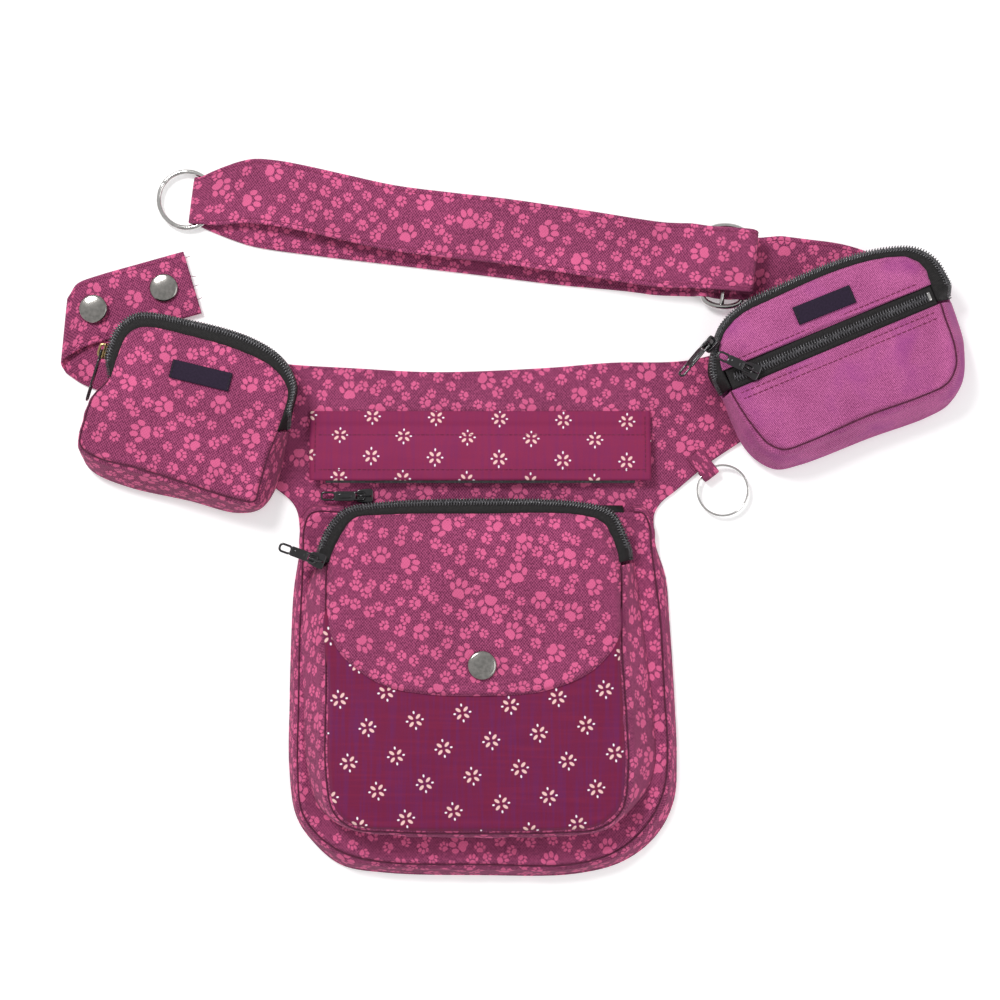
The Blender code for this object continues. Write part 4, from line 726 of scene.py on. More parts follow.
@dataclass(frozen=True)
class PawCanvas:
    """Canvas in two purple threads, printed with pink paw prints in two sizes, on a layout of its own."""

    name: str = "paw_print_canvas"
    dark: tuple = (98, 32, 68)
    light: tuple = (176, 80, 122)
    ink: tuple = (228, 106, 152)
    large_cell: float = 22.0      # millimetres
    small_cell: float = 8.1
    large_sizes: tuple = (9.4, 12.2)      # least and most
    small_sizes: tuple = (5.1, 6.9)
    large_salt: float = 3.7       # it shifts a layer's cells
    small_salt: float = 11.3
    clear: float = 8.2            # a small print's least distance from a large one
    bare_share: float = 0.22      # of the large cells that hold no print
    layout_turn: float = 31.0

    def grid(self, look: Look, place: Socket, cell: float, salt: float) -> tuple:
        """A place in units of cells, and the outputs of a jittered grid there."""
        moved = look.vector("ADD", look.scaled(place, 1.0 / cell), (salt, salt * 0.37, 0.0))
        inputs = {"Vector": moved, "Scale": 1.0, "Randomness": 0.45}
        return moved, look.put("ShaderNodeTexVoronoi", inputs, voronoi_dimensions="2D").outputs

    def layer(self, look: Look, place: Socket, cell: float, sizes: tuple, salt: float) -> tuple:
        """One size of paw print: each cell of a jittered grid holds one, turned and sized by chance.

        Returns:
            How far out of a print each place is, the print's place in millimetres, and the cell's
            chance number.
        """
        moved, cells = self.grid(look, place, cell, salt)
        centre = cells["Position"]
        local = look.scaled(look.vector("SUBTRACT", moved, centre), cell)
        red, green, blue = look.split(cells["Color"])
        spun = look.spin(local, look.sum("MULTIPLY", red, 2 * math.pi))
        size = look.span(green, 0.0, 1.0, *sizes)
        local = look.scaled(spun, look.sum("DIVIDE", 1.0, size))
        shape = look.union([look.ellipse(local, *pad) for pad in PAW_PADS])
        back = look.scaled(look.vector("SUBTRACT", centre, (salt, salt * 0.37, 0.0)), cell)
        return shape, back, blue

    def build(self) -> bpy.types.Material:
        """The material: woven ground, prints with a soft edge, wide patches of uneven tone deepened as
        painted shade, and a bump of threads.
        """
        look = Look(self.name, 0.86)
        cloth = look.cloth()
        turned = look.spin(cloth, math.radians(self.layout_turn))
        inputs = {"Vector": cloth, "Scale": 0.35, "Detail": 1.0}
        uneven = look.put("ShaderNodeTexNoise", inputs).outputs["Color"]
        shake = look.scaled(look.vector("SUBTRACT", uneven, (0.5, 0.5, 0.5)), 0.5)
        turned = look.vector("ADD", turned, shake)
        large, _, kept = self.layer(look, turned, self.large_cell, self.large_sizes, self.large_salt)
        small, middle, _ = self.layer(look, turned, self.small_cell, self.small_sizes, self.small_salt)
        _, near = self.grid(look, middle, self.large_cell, self.large_salt)
        _, _, near_kept = look.split(near["Color"])
        far = look.sum("GREATER_THAN", near["Distance"], self.clear / self.large_cell)
        free = look.sum("MAXIMUM", far, look.sum("LESS_THAN", near_kept, self.bare_share))
        printed_cell = look.sum("GREATER_THAN", kept, self.bare_share)
        large_ink = look.sum("MULTIPLY", look.span(large, 1.05, 0.93), printed_cell)
        small_ink = look.sum("MULTIPLY", look.span(small, 1.08, 0.90), free)
        ink = look.sum("MAXIMUM", large_ink, small_ink)
        threads = look.span(look.weave(cloth, 1.45), 0.2, 0.8)
        flecks = look.noise(cloth, 0.8, 3.0)
        share = look.sum("MULTIPLY_ADD", threads, 0.8, look.span(flecks, 0.3, 0.7, -0.30, 0.45), clamp=True)
        ground = look.mix(share, rgb(*self.dark), rgb(*self.light))
        printed = look.mix(look.sum("MULTIPLY", threads, 0.42), rgb(*self.ink), rgb(178, 62, 110))
        # Wide soft patches, darker and lighter: uneven tone of the cloth, made deeper as painted shade of
        # soft folds
        broad = look.span(look.noise(cloth, 0.03, 2.0), 0.3, 0.7, 0.86, 1.08)
        cover = look.sum("MULTIPLY", ink, look.span(threads, 0.0, 0.25, 0.86, 1.0))
        look.paint(look.scaled(look.mix(cover, ground, printed), broad))
        look.matt(0.05)
        look.bump(look.sum("MULTIPLY_ADD", ink, -0.25, threads), 0.00022, 0.55)
        return look.material


@dataclass(frozen=True)
class FlowerCotton:
    """Thin plum cotton, shot with blue and red, with small pale flowers in half-drop rows."""

    name: str
    ground: tuple
    pitch: float                  # along a row, millimetres
    row: float                    # between rows
    turn: float
    size: float                   # of a flower
    shot: float                   # how strongly the threads' colours part

    def build(self) -> bpy.types.Material:
        """The material: each lattice cell holds petals on its diagonals and dots on its axes."""
        look = Look(self.name, 0.74)
        cloth = look.cloth()
        x, y, _ = look.split(look.spin(cloth, math.radians(self.turn)))
        down = look.sum("DIVIDE", y, self.row)
        line = look.sum("FLOOR", down)
        half = look.sum("MULTIPLY", look.sum("FLOORED_MODULO", line, 2.0), 0.5)
        across = look.sum("ADD", look.sum("DIVIDE", x, self.pitch), half)
        local = [look.sum("MULTIPLY", look.sum("SUBTRACT", look.sum("FRACT", way), 0.5), cell / self.size)
                 for way, cell in ((across, self.pitch), (down, self.row))]
        folded = look.join(*(look.sum("ABSOLUTE", part) for part in local))
        petals = look.ellipse(folded, 0.21, 0.19, 0.16, 0.085, 42.0)
        dots = look.union([look.ellipse(folded, 0.43, 0.0, 0.07, 0.05),
                           look.ellipse(folded, 0.0, 0.44, 0.05, 0.08)])
        threads = look.weave(cloth, 0.7)
        warp = look.noise(look.vector("MULTIPLY", cloth, (1.0, 0.06, 1.0)), 0.5, 3.0)
        weft = look.noise(look.vector("MULTIPLY", cloth, (0.06, 1.0, 1.0)), 0.5, 3.0)
        blue_share = look.span(warp, 0.42, 0.66, 0.0, self.shot * 1.3)
        ground = look.mix(blue_share, rgb(*self.ground), rgb(96, 38, 112))
        ground = look.mix(look.span(weft, 0.45, 0.70, 0.0, self.shot * 0.55), ground, rgb(170, 44, 66))
        ground = look.mix(look.sum("MULTIPLY", threads, 0.22), ground, rgb(70, 18, 44))
        petal = look.mix(look.sum("MULTIPLY", threads, 0.5), rgb(246, 208, 200), rgb(226, 160, 168))
        colour = look.mix(look.span(petals, 1.12, 0.86), ground, petal)
        colour = look.mix(look.span(dots, 1.2, 0.85), colour, rgb(250, 238, 246))
        look.paint(colour)
        look.matt(0.03)
        look.bump(threads, 0.00012, 0.5)
        return look.material


@dataclass(frozen=True)
class TwillCanvas:
    """Thick magenta canvas with a diagonal rib and paler worn threads."""

    name: str = "magenta_twill"
    dark: tuple = (112, 32, 84)
    light: tuple = (228, 124, 184)
    worn: tuple = (146, 56, 132)

    def build(self) -> bpy.types.Material:
        """The material: a slanted weave between two thread colours."""
        look = Look(self.name, 0.88)
        cloth = look.cloth()
        slanted = look.vector("ADD", cloth, look.scaled(look.spin(cloth, 0.9), 0.45))
        threads = look.weave(slanted, 1.5)
        flecks = look.span(look.noise(cloth, 1.1, 3.0), 0.3, 0.7, -0.15, 0.25)
        broad = look.span(look.noise(cloth, 0.05, 2.0), 0.3, 0.7, -0.10, 0.10)
        share = look.sum("ADD", look.sum("MULTIPLY_ADD", threads, 0.8, flecks), broad, clamp=True)
        patches = look.span(look.noise(cloth, 0.045, 3.0), 0.5, 0.72, 0.0, 0.55)
        colour = look.mix(patches, look.mix(share, rgb(*self.dark), rgb(*self.light)), rgb(*self.worn))
        look.paint(colour)
        look.matt(0.06)
        look.bump(threads, 0.00028, 0.6)
        return look.material


@dataclass(frozen=True)
class Ribbed:
    """Tape or label cloth in one dark colour, with ribs across its cloth coordinates."""

    name: str
    colour: tuple
    raised: tuple
    pitch: float
    roughness: float = 0.8

    def build(self) -> bpy.types.Material:
        """The material: sine ribs with a little noise."""
        look = Look(self.name, self.roughness)
        cloth = look.cloth()
        threads = look.weave(cloth, self.pitch)
        share = look.sum("MULTIPLY_ADD", threads, 0.7, look.span(look.noise(cloth, 0.8), 0.3, 0.7, -0.1, 0.2))
        look.paint(look.mix(share, rgb(*self.colour), rgb(*self.raised)))
        look.matt(0.0)
        look.bump(threads, 0.00015, 0.6)
        return look.material


@dataclass(frozen=True)
class Solid:
    """Thread, nylon, metal and lacquer: one colour that noise varies, with scuffs in its gloss."""

    name: str
    colour: tuple
    second: tuple
    roughness: float
    metallic: float = 0.0
    coat: float = 0.0
    grain: float = 0.6            # of the noise, per millimetre
    relief: float = 0.00002

    def build(self) -> bpy.types.Material:
        """The material: noise between two colours and two roughnesses."""
        look = Look(self.name, self.roughness, self.metallic)
        place = look.object_mm()
        cloud = look.noise(place, self.grain, 4.0)
        share = look.span(cloud, 0.35, 0.65)
        look.paint(look.mix(share, rgb(*self.colour), rgb(*self.second)))
        look.feed(look.shader.inputs["Roughness"],
                  look.span(cloud, 0.3, 0.7, self.roughness * 0.8, min(self.roughness * 1.3, 1.0)))
        look.shader.inputs["Coat Weight"].default_value = self.coat
        look.bump(look.noise(place, self.grain * 6), self.relief, 0.4)
        return look.material


class Finish(Enum):
    """The finishes of the bag, each built once."""

    PAW = PawCanvas()
    STRIP = FlowerCotton("plum_strip", (142, 40, 84), 33.9, 10.9, 1.2, 8.8, 0.15)
    POCKET = FlowerCotton("plum_pocket", (120, 26, 68), 25.0, 16.6, -9.0, 9.4, 0.26)
    MAGENTA = TwillCanvas()
    TAPE = Ribbed("zip_tape", (20, 19, 20), (56, 54, 54), 0.9)
    LABEL = Ribbed("bare_label", (24, 12, 32), (50, 36, 60), 0.7, 0.7)
    COIL = Solid("nylon_coil", (40, 39, 42), (84, 82, 86), 0.24, coat=0.4)
    LACQUER = Solid("black_lacquer", (16, 14, 17), (30, 28, 32), 0.16, 0.35, 0.8, 0.2)
    NICKEL = Solid("bright_nickel", (214, 212, 210), (190, 188, 186), 0.14, 1.0, 0.0, 0.25)
    CAP = Solid("brushed_cap", (172, 168, 164), (142, 140, 136), 0.17, 1.0, 0.0, 0.5, 0.00003)
    BRASS = Solid("worn_brass", (196, 170, 120), (150, 128, 92), 0.22, 1.0, 0.0, 0.4)
    PLUM_THREAD = Solid("plum_thread", (124, 34, 76), (100, 26, 60), 0.8)
    # Painted shade: the colour of the dark cord laid in the seam valleys, standing in for their shadow
    SEAM = Solid("painted_seam_shade", (92, 24, 60), (76, 18, 48), 0.9)
    BLACK_THREAD = Solid("black_thread", (26, 22, 28), (44, 40, 46), 0.8)

    def __call__(self) -> bpy.types.Material:
        """The built material, made on first use."""
        return bpy.data.materials.get(self.value.name) or self.value.build()


SEAM_STEPS = np.array([0.0, 0.4, 0.8, 1.2, 1.8, 2.6, 3.6, 5.0, 7.0, 10.0, 14.0]) * MM
INNER_STEPS = 15
CORD_RADIUS = 0.00045
COIL_FALL = 0.075         # how far down the tape the coil lies, as a share of the drop
WALL_STEPS = np.array([1.0, 0.97, 0.90, 0.80, 0.68, 0.56, 0.44, 0.33, 0.24, 0.17, 0.11, 0.07, 0.035])
# A rim zip's tape from foot to seam: shares of the way out and of the drop
ZIP_PROFILE = ((1.0, 1.0), (1.0, 0.6), (1.0, 0.25), (0.99, 0.16), (0.95, 0.10), (0.86, 0.08), (0.70, 0.06),
               (0.48, 0.04), (0.22, 0.01), (0.0, 0.02))
# Across a layer's top, and across half a strap: shares of the way out
LAYER_SHARES = np.array([0.985, 0.97, 0.94, 0.9, 0.84, 0.76, 0.66, 0.55, 0.42, 0.28, 0.14])
STRAP_SHARES = np.array([-1.0, -0.985, -0.95, -0.89, -0.86, -0.83, -0.76, -0.6, -0.4, -0.2])
TURN_STEPS = 5
EDGE_STITCHES = (4, 16, 24, 36)       # columns of a strap's section


def face_grid(ring: Array) -> tuple:
    """Concentric rings inside an outline, close together near its edge.

    Returns:
        Their x and y, rows from the edge inward, each point's distance from the edge, and the centre.
    """
    centre = ring.mean(axis=0)
    reach = np.linalg.norm(ring - centre, axis=1)
    near = 1 - np.minimum(SEAM_STEPS[:, None] / reach, 0.8 * SEAM_STEPS[:, None] / SEAM_STEPS[-1])
    inner = near[-1] * np.linspace(1, 0, INNER_STEPS + 1)[1:-1, None]
    shares = np.vstack([near, inner])
    return centre + (ring - centre) * shares[..., None], (1 - shares) * reach, centre


def seam_roll(far: Array) -> Array:
    """Height of a sewn edge at a distance from it: a valley on the seam and a soft roll beside it."""
    return 0.00060 * np.exp(-(((far - 0.0028) / 0.0017) ** 2)) - 0.0011 * np.exp(-((far / 0.0011) ** 2))


def puckers(ring: Array, far: Array, height: float = 0.00022, pitch: float = 0.0070) -> Array:
    """Waves that run off a seam: a sine along it, uneven in pitch, that fades with the distance."""
    line = np.vstack([ring, ring[:1]])
    along = lengths(line)
    share = along[:-1] / along[-1]
    waves = round(along[-1] / pitch)
    wave = np.sin(2 * math.pi * waves * share + 2.2 * np.sin(2 * math.pi * 5 * share))
    return height * wave * (0.6 + 0.4 * np.sin(2 * math.pi * 3 * share)) * np.exp(-far / 0.0045)


@dataclass(frozen=True)
class Tag:
    """What a piece is: its name, its finish, the CAD node that it stands for, and its body."""

    name: str
    finish: Finish
    node: str = ""
    body: str = "bag"

    def make(self, draft: Draft) -> bpy.types.Object:
        piece = draft.build(self.name, self.finish())
        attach(piece, self.body)
        if self.node:
            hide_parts(self.node)
        return piece


class Threads:
    """Every stitch of the bag, one mesh for each colour of thread, and a mesh of dark cords that are painted
    shade in the seam valleys.
    """

    def __init__(self) -> None:
        """Start with no stitches."""
        self.drafts: dict = {}

    def sew(self, finish: Finish, line: Array, up: Array = UP, pitch: float = 0.0031) -> None:
        """Lay stitches on a line: rounded bars, a little apart.

        Args:
            finish: The thread.
            line: Points on the cloth.
            up: The way out of the cloth.
            pitch: Distance between the stitches.
        """
        places, tangents = evenly(line, pitch)
        draft = self.drafts.setdefault(finish, Draft())
        stitch = bead(pitch * 0.78, 0.00050, 0.00042)
        repeat(draft, stitch, places[:, :3], axes_along(tangents, np.array(up)))

    def fray(self, finish: Finish, root: Array, ways: Array, length: float) -> None:
        """Loose threads from a cut end: each bends down from its root to the floor."""
        draft = self.drafts.setdefault(finish, Draft())
        t = np.linspace(0, 1, 9)[:, None]
        for place, way in zip(root, ways):
            path = place + way * t * length + np.array([-way[1], way[0], 0.0]) * t**2 * length * 0.3
            path[:, 2] = place[2] * (1 - t[:, 0] ** 2) + 0.0004
            tube_piece(draft, path, circle(0.00016, 5), UP, False)

    def cord(self, line: Array) -> None:
        """Lay a dark cord in the valley of a seam: painted shade, standing in for the shadow in the seam."""
        tube_piece(self.drafts.setdefault(Finish.SEAM, Draft()), line, circle(CORD_RADIUS, 6), UP, False)

    def build(self) -> None:
        """Make one piece of each thread, and one of the painted seam shade."""
        for finish, draft in self.drafts.items():
            Tag(f"stitches_{finish.name.lower()}", finish).make(draft)


@dataclass
class Shell:
    """A filled front and the gusset round it, cut from one cloth and sewn along a seam."""

    tag: Tag
    place: Frame
    ring: Array                   # outline of the front: x, y
    rim: Array                    # seam x, y and foot x, y, for the gusset's points
    surface: Surface
    floor: Surface
    depth: float
    thickness: float = 0.0011
    pucker: float = 0.00024
    piping: float = 0.0           # width of a crease seam over the gusset's foot
    # threads takes the dark cord of painted shade along the seam
    threads: Optional[Threads] = None

    def face(self, draft: Draft) -> Array:
        """Add the front and give its edge's point numbers and heights: surface + roll + puckers."""
        flat, far, centre = face_grid(self.ring)
        x, y = flat[..., 0], flat[..., 1]
        z = self.surface(x, y) + seam_roll(far) + puckers(self.ring, far, self.pucker)
        numbers = draft.add(lifted(flat, z))
        uv = self.place.cloth(flat)
        draft.patch(numbers, uv, wrap=True)
        middle = np.array([*centre, z[-1].mean()])
        draft.fan(numbers[-1], uv[-1], draft.add(middle[None])[0], self.place.cloth(centre))
        return numbers[0], z[0]

    def gusset(self, draft: Draft, edge: Array, height: Array) -> None:
        """Add the gusset: straight from seam to foot, plus a bulge by the sine of the way down."""
        count = len(self.rim)
        seam, foot = self.rim[:, :2], self.rim[:, 2:4]
        out = unit(foot - seam)
        along = lengths(seam)
        t = WALL_STEPS[:, None]
        down = t * self.depth
        wave = puckers(seam, down, self.pucker * 1.2) + 0.0006 * swell(
            along[None] * np.ones_like(t), down * np.ones(count), 0.022, 5) * np.sin(math.pi * t)
        roll = 0.0010 * np.exp(-(((down - 0.0026) / 0.0018) ** 2))
        push = BULGE_SHARE * self.depth * np.sin(math.pi * t) + roll
        if self.piping:
            push = push - 0.0010 * np.exp(-(((down - self.depth + self.piping) / 0.0009) ** 2))
        flat = seam + (foot - seam) * t[..., None] + out * (push + wave)[..., None]
        z = height[:count] * (1 - t) + self.floor(foot[:, 0], foot[:, 1]) * t
        z = np.maximum(z, self.floor(flat[..., 0], flat[..., 1]))
        numbers = draft.add(lifted(flat, z))
        numbers = np.vstack([numbers, edge[:count]])
        # A dark cord along the seam: painted shade in its valley
        if self.threads:
            self.threads.cord(np.column_stack([seam, height[:count] + 0.0003]))
        rows = np.concatenate([-t, [[0.0]]]) * (self.depth + 0.006)
        uv = np.stack(np.broadcast_arrays(along + 0.31, rows), axis=-1)
        draft.patch(numbers, uv)

    def build(self) -> bpy.types.Object:
        """The piece: front, gusset and the thickness of the cloth."""
        draft = Draft()
        edge, height = self.face(draft)
        if len(self.rim):
            self.gusset(draft, edge, height)
        piece = self.tag.make(draft)
        thicken(piece, self.thickness)
        return piece


@dataclass
class Layer:
    """A flat layer of cloth with a top, a rounded edge and an underside."""

    tag: Tag
    place: Frame
    ring: Array
    bottom: float
    thickness: float
    centre: Optional[tuple] = None

    def build(self) -> bpy.types.Object:
        """The piece: rings of the underside from its centre out, the edge's arc, and rings of the top in."""
        draft = Draft()
        centre = self.ring.mean(axis=0) if self.centre is None else np.array(self.centre)
        arms = self.ring - centre
        reach = np.linalg.norm(arms, axis=1)
        half = self.thickness / 2
        turn = np.linspace(-math.pi / 2, math.pi / 2, 7)
        edge = 1 - half * (1 - np.cos(turn))[:, None] / reach
        inner = (1 - half / reach) * LAYER_SHARES[:, None]
        shares = np.vstack([inner[::-1][:3], edge, inner])
        flat = centre + arms * shares[..., None]
        far = (1 - shares) * reach
        soft = 0.00018 * (swell(flat[..., 0], flat[..., 1], 0.030, 9) - 1.0) * np.clip(far / 0.006, 0, 1)
        rise = np.vstack([np.zeros((3, 1)), half * (1 + np.sin(turn))[:, None],
                          np.full((len(inner), 1), self.thickness)])
        dip = 0.0004 * np.exp(-(((far - 0.0045) / 0.0010) ** 2))
        top = np.arange(len(shares))[:, None] > 9
        z = self.bottom + rise + np.where(top, soft - dip, 0.0)
        numbers = draft.add(lifted(flat, z))
        uv = self.place.cloth(flat)
        draft.patch(numbers, uv, wrap=True)
        poles = [(*centre, z[row].mean()) for row in (0, -1)]
        draft.close(numbers, uv, poles, [self.place.cloth(centre)] * 2)
        return self.tag.make(draft)


@dataclass
class RimZip:
    """A zip round a rim: tape from the seam over the edge to the foot, and a coil of nylon on it."""

    name: str                     # its pieces' names start with it
    node: str
    seam: Array                   # n by 3
    foot: Array
    middle: float = 0.80          # of the coil, as a share of the way out
    coil_end: float = math.inf    # the coil hides past this x

    def build(self) -> None:
        """Make tape and coil."""
        out = self.foot[:, :2] - self.seam[:, :2]
        drop = (self.seam[:, 2] - self.foot[:, 2])[None, :, None]
        near = lengths(self.seam)
        ends = np.clip(np.minimum(near, near[-1] - near) / 0.009, 0.0, 1.0)[None, :, None]
        ends = ends * ends * (3 - 2 * ends)
        slope = np.linspace(1.0, 0.0, len(ZIP_PROFILE))[:, None, None] * [1.0, 1.0]
        profile = slope + (np.array(ZIP_PROFILE)[:, None, :] - slope) * ends
        flat = self.seam[None, :, :2] + out[None] * profile[..., :1]
        tuck = -unit(out) * 0.0016
        flat = np.concatenate([flat, flat[-1:] + tuck])
        z = self.seam[None, :, 2:] - drop * profile[..., 1:] - 0.0002
        z = np.concatenate([z, z[-1:] - 0.0014])
        points = np.concatenate([flat, z], axis=-1)
        draft = Draft()
        uv = np.stack(np.broadcast_arrays(near[None], lengths(points[:, len(near) // 2])[:, None]), axis=-1)
        draft.patch(draft.add(points), uv)
        thicken(Tag(f"{self.name}_tape", Finish.TAPE, self.node).make(draft), 0.0007)
        fall = COIL_FALL + (self.middle - COIL_FALL) * (1 - ends[0])
        line = np.hstack([self.seam[:, :2] + out * self.middle, self.seam[:, 2:] - drop[0] * fall + 0.0002])
        across = np.hstack([unit(out), np.full((len(out), 1), -0.12)])
        shown = line[:, 0] < self.coil_end
        lay_teeth(Tag(f"{self.name}_coil", Finish.COIL), line[shown], across[shown])


def lay_teeth(tag: Tag, line: Array, across: Array, reach: float = 0.0030) -> None:
    """A zip's coil: rounded bars across a line, which lean in turn to either side, over a core."""
    draft = Draft()
    places, tangents = evenly(np.hstack([line, across]), TOOTH_PITCH / 2)
    side = unit(places[:, 3:6])
    turn = np.where(np.arange(len(places)) % 2 == 0, 1.0, -1.0)[:, None]
    x = unit(side + 0.22 * turn * tangents)
    z = unit(np.array(UP) - x * x[:, 2:])
    axes = np.stack([x, np.cross(z, x), z], axis=1)
    repeat(draft, bead(reach, 0.00085, 0.00105), places[:, :3] + side * turn * 0.0006, axes)
    tag.make(draft)


def band(line: Array, thickness: float, ripple: float, seed: int) -> tuple:
    """The surface of a doubled strap: at each station a flat section, thinner at its stitched lines.

    Half thickness across the strap is a rounded edge times one, less a groove at 0.86 of the half width.
    The edges wave up and down by an uneven field.

    Args:
        line: Rows of x, y, z, cross angle in degrees and width.
        thickness: Of the cloth.
        ripple: Height of the waves.
        seed: Of the waves.

    Returns:
        Points, stations by section by 3, their cloth coordinates, and the stations' normals.
    """
    path = line[:, :3]
    angle = np.radians(line[:, 3])
    cross = np.stack([np.cos(angle), np.sin(angle), np.zeros(len(angle))], axis=-1)
    way = unit(np.gradient(path, axis=0))
    normal = unit(np.cross(cross, way))
    a = np.concatenate([STRAP_SHARES, [0.0], -STRAP_SHARES[::-1]])
    half = thickness / 2 * np.sqrt(np.clip((1 - np.abs(a)) / 0.05, 0.04, 1.0))
    groove = 0.00022 * np.exp(-(((np.abs(a) - 0.86) / 0.03) ** 2))
    a2, h2 = np.concatenate([a, a[-2:0:-1]]), np.concatenate([half - groove, -(half - groove)[-2:0:-1]])
    far = lengths(path)
    wave = ripple * (swell(far[:, None] * np.ones_like(a2), a2 * 0.012 * np.ones((len(far), 1)), 0.034, seed)
                     * (0.35 + 0.65 * a2**2))
    fade = np.clip(np.minimum(far, far[-1] - far) / 0.004, 0.0, 1.0)[:, None]
    points = (path[:, None] + cross[:, None] * (a2 * line[:, 4:5] / 2)[..., None]
              + normal[:, None] * (h2 + wave * fade)[..., None])
    points[..., 2] = np.maximum(points[..., 2], 0.0001)
    uv = np.stack(np.broadcast_arrays(far[:, None], a2 * STRAP_WIDTH / 2), axis=-1)
    return points, uv, normal


@dataclass
class Strap:
    """A doubled strap along its stations, with stitched edges."""

    tag: Tag
    stations: Array
    thickness: float
    ripple: float = 0.00018
    seed: int = 3
    steps: int = 5

    def build(self, threads: Threads, thread: Optional[Finish] = None) -> tuple:
        """Make the strap and its stitches.

        Returns:
            The piece and the length of its line.
        """
        line = curve_through(self.stations, self.steps, False, columns=3)
        points, uv, normal = band(line, self.thickness, self.ripple, self.seed)
        draft = Draft()
        start = len(draft.faces)
        numbers = draft.add(points)
        draft.patch(numbers, uv, wrap=True)
        draft.close(numbers, uv, points.mean(axis=1), uv.mean(axis=1))
        draft.outward(start)
        if thread is not None:
            for column in EDGE_STITCHES:
                threads.sew(thread, points[2:-2, column], normal[len(normal) // 2], 0.0034)
        return self.tag.make(draft), lengths(line[:, :3])[-1]


def stations_of(flat: Array, z: Array, turn: Array, width: Array) -> Array:
    """Rows of x, y, z, cross angle and width; a single value holds for every row."""
    return np.column_stack([flat, *np.broadcast_arrays(z, turn, width)])


def rows_on(place: Frame, rows: Sequence, low: float, high: float, steps: int) -> Array:
    """Stations of a strap along rows of u, v, cross angle and share of the rise from low to high."""
    rows = np.asarray(rows, float)
    flat = place.place(rows[:, 0], rows[:, 1])
    rise = low + (high - low) * rows[:, 3]
    return curve_through(stations_of(flat, rise, place.turn + rows[:, 2], STRAP_WIDTH), steps, False)


def half_turn(last: Array, after: Array, heading: float, reach: Optional[float] = None) -> Array:
    """Stations of a half turn between two stations: a straight blend plus a sine in the heading's way."""
    radius = (after[2] - last[2]) / 2
    angle = (math.pi * np.arange(1, TURN_STEPS) / TURN_STEPS)[:, None]
    turned = last + (after - last) * angle / math.pi
    turned[:, 2] = last[2] + radius * (1 - np.cos(angle[:, 0]))
    push = (abs(radius) if reach is None else reach) * np.sin(angle[:, 0])
    turned[:, 0] += push * math.cos(math.radians(heading))
    turned[:, 1] += push * math.sin(math.radians(heading))
    return turned


@dataclass(frozen=True)
class Seat:
    """A place with a heading and a tilt, in degrees, on which a slider and its pull stand."""

    origin: tuple
    heading: float
    tilt: float = 0.0

    def axes(self) -> Array:
        """Rows of the directions x, y and z: a tilt round x, then the heading round z."""
        h, t = math.radians(self.heading), math.radians(self.tilt)
        return np.array([[math.cos(h), math.sin(h), 0.0],
                         [-math.sin(h) * math.cos(t), math.cos(h) * math.cos(t), math.sin(t)],
                         [math.sin(h) * math.sin(t), -math.cos(h) * math.sin(t), math.cos(t)]])

    def move(self, points: Array) -> Array:
        """Local points in the world."""
        return np.asarray(self.origin) + points @ self.axes()


def rounded(size: tuple, centre: tuple, taper: float, power: float) -> tuple:
    """A rounded block: a superellipsoid whose width narrows along x.

    Each of its three axes is the signed power of a sine or cosine of two angles, times the half size.

    Returns:
        Rows of points from the lower pole to the upper one, and the poles.
    """
    turn = np.arange(36) * 2 * math.pi / 36
    rise = np.linspace(-0.46 * math.pi, 0.46 * math.pi, 13)[:, None]
    sharp = lambda wave: np.sign(wave) * np.abs(wave) ** power
    flat = sharp(np.cos(rise))
    x, y = flat * sharp(np.cos(turn)), flat * sharp(np.sin(turn))
    z = np.broadcast_to(sharp(np.sin(rise)), x.shape)
    points = np.stack([x, y * (1 - taper * x), z], axis=-1) * np.array(size) / 2 + np.array(centre)
    poles = np.array(centre) + np.array([[0, 0, -size[2] / 2], [0, 0, size[2] / 2]])
    return points, poles


def add_block(draft: Draft, seat: Seat, size: tuple, centre: tuple = (0, 0, 0), taper: float = 0.0,
              power: float = 0.35) -> None:
    """Add a rounded block on a seat."""
    points, poles = rounded(size, centre, taper, power)
    start = len(draft.faces)
    numbers = draft.add(seat.move(points))
    uv = points[..., :2]
    draft.patch(numbers, uv, wrap=True)
    draft.close(numbers, uv, seat.move(poles), uv.mean(axis=1))
    draft.outward(start)


def add_tube(draft: Draft, seat: Seat, path: Array, section: Array, up: tuple, closed: bool) -> None:
    """Add a tube whose path is local to a seat."""
    tube_piece(draft, seat.move(path), section, np.asarray(up, float) @ seat.axes(), closed)


def rounded_loop(x0: float, x1: float, half: float, corner: float, steps: int = 7) -> Array:
    """A closed flat loop: a rectangle from x0 to x1 with round corners."""
    turn = np.linspace(0, math.pi / 2, steps)
    arcs = []
    for x, y, first in ((x1 - corner, half - corner, 0.0), (x0 + corner, half - corner, 0.5),
                        (x0 + corner, -half + corner, 1.0), (x1 - corner, -half + corner, 1.5)):
        angle = turn + first * math.pi
        arcs.append(np.stack([x + corner * np.cos(angle), y + corner * np.sin(angle), 0 * angle], axis=-1))
    return np.concatenate(arcs)


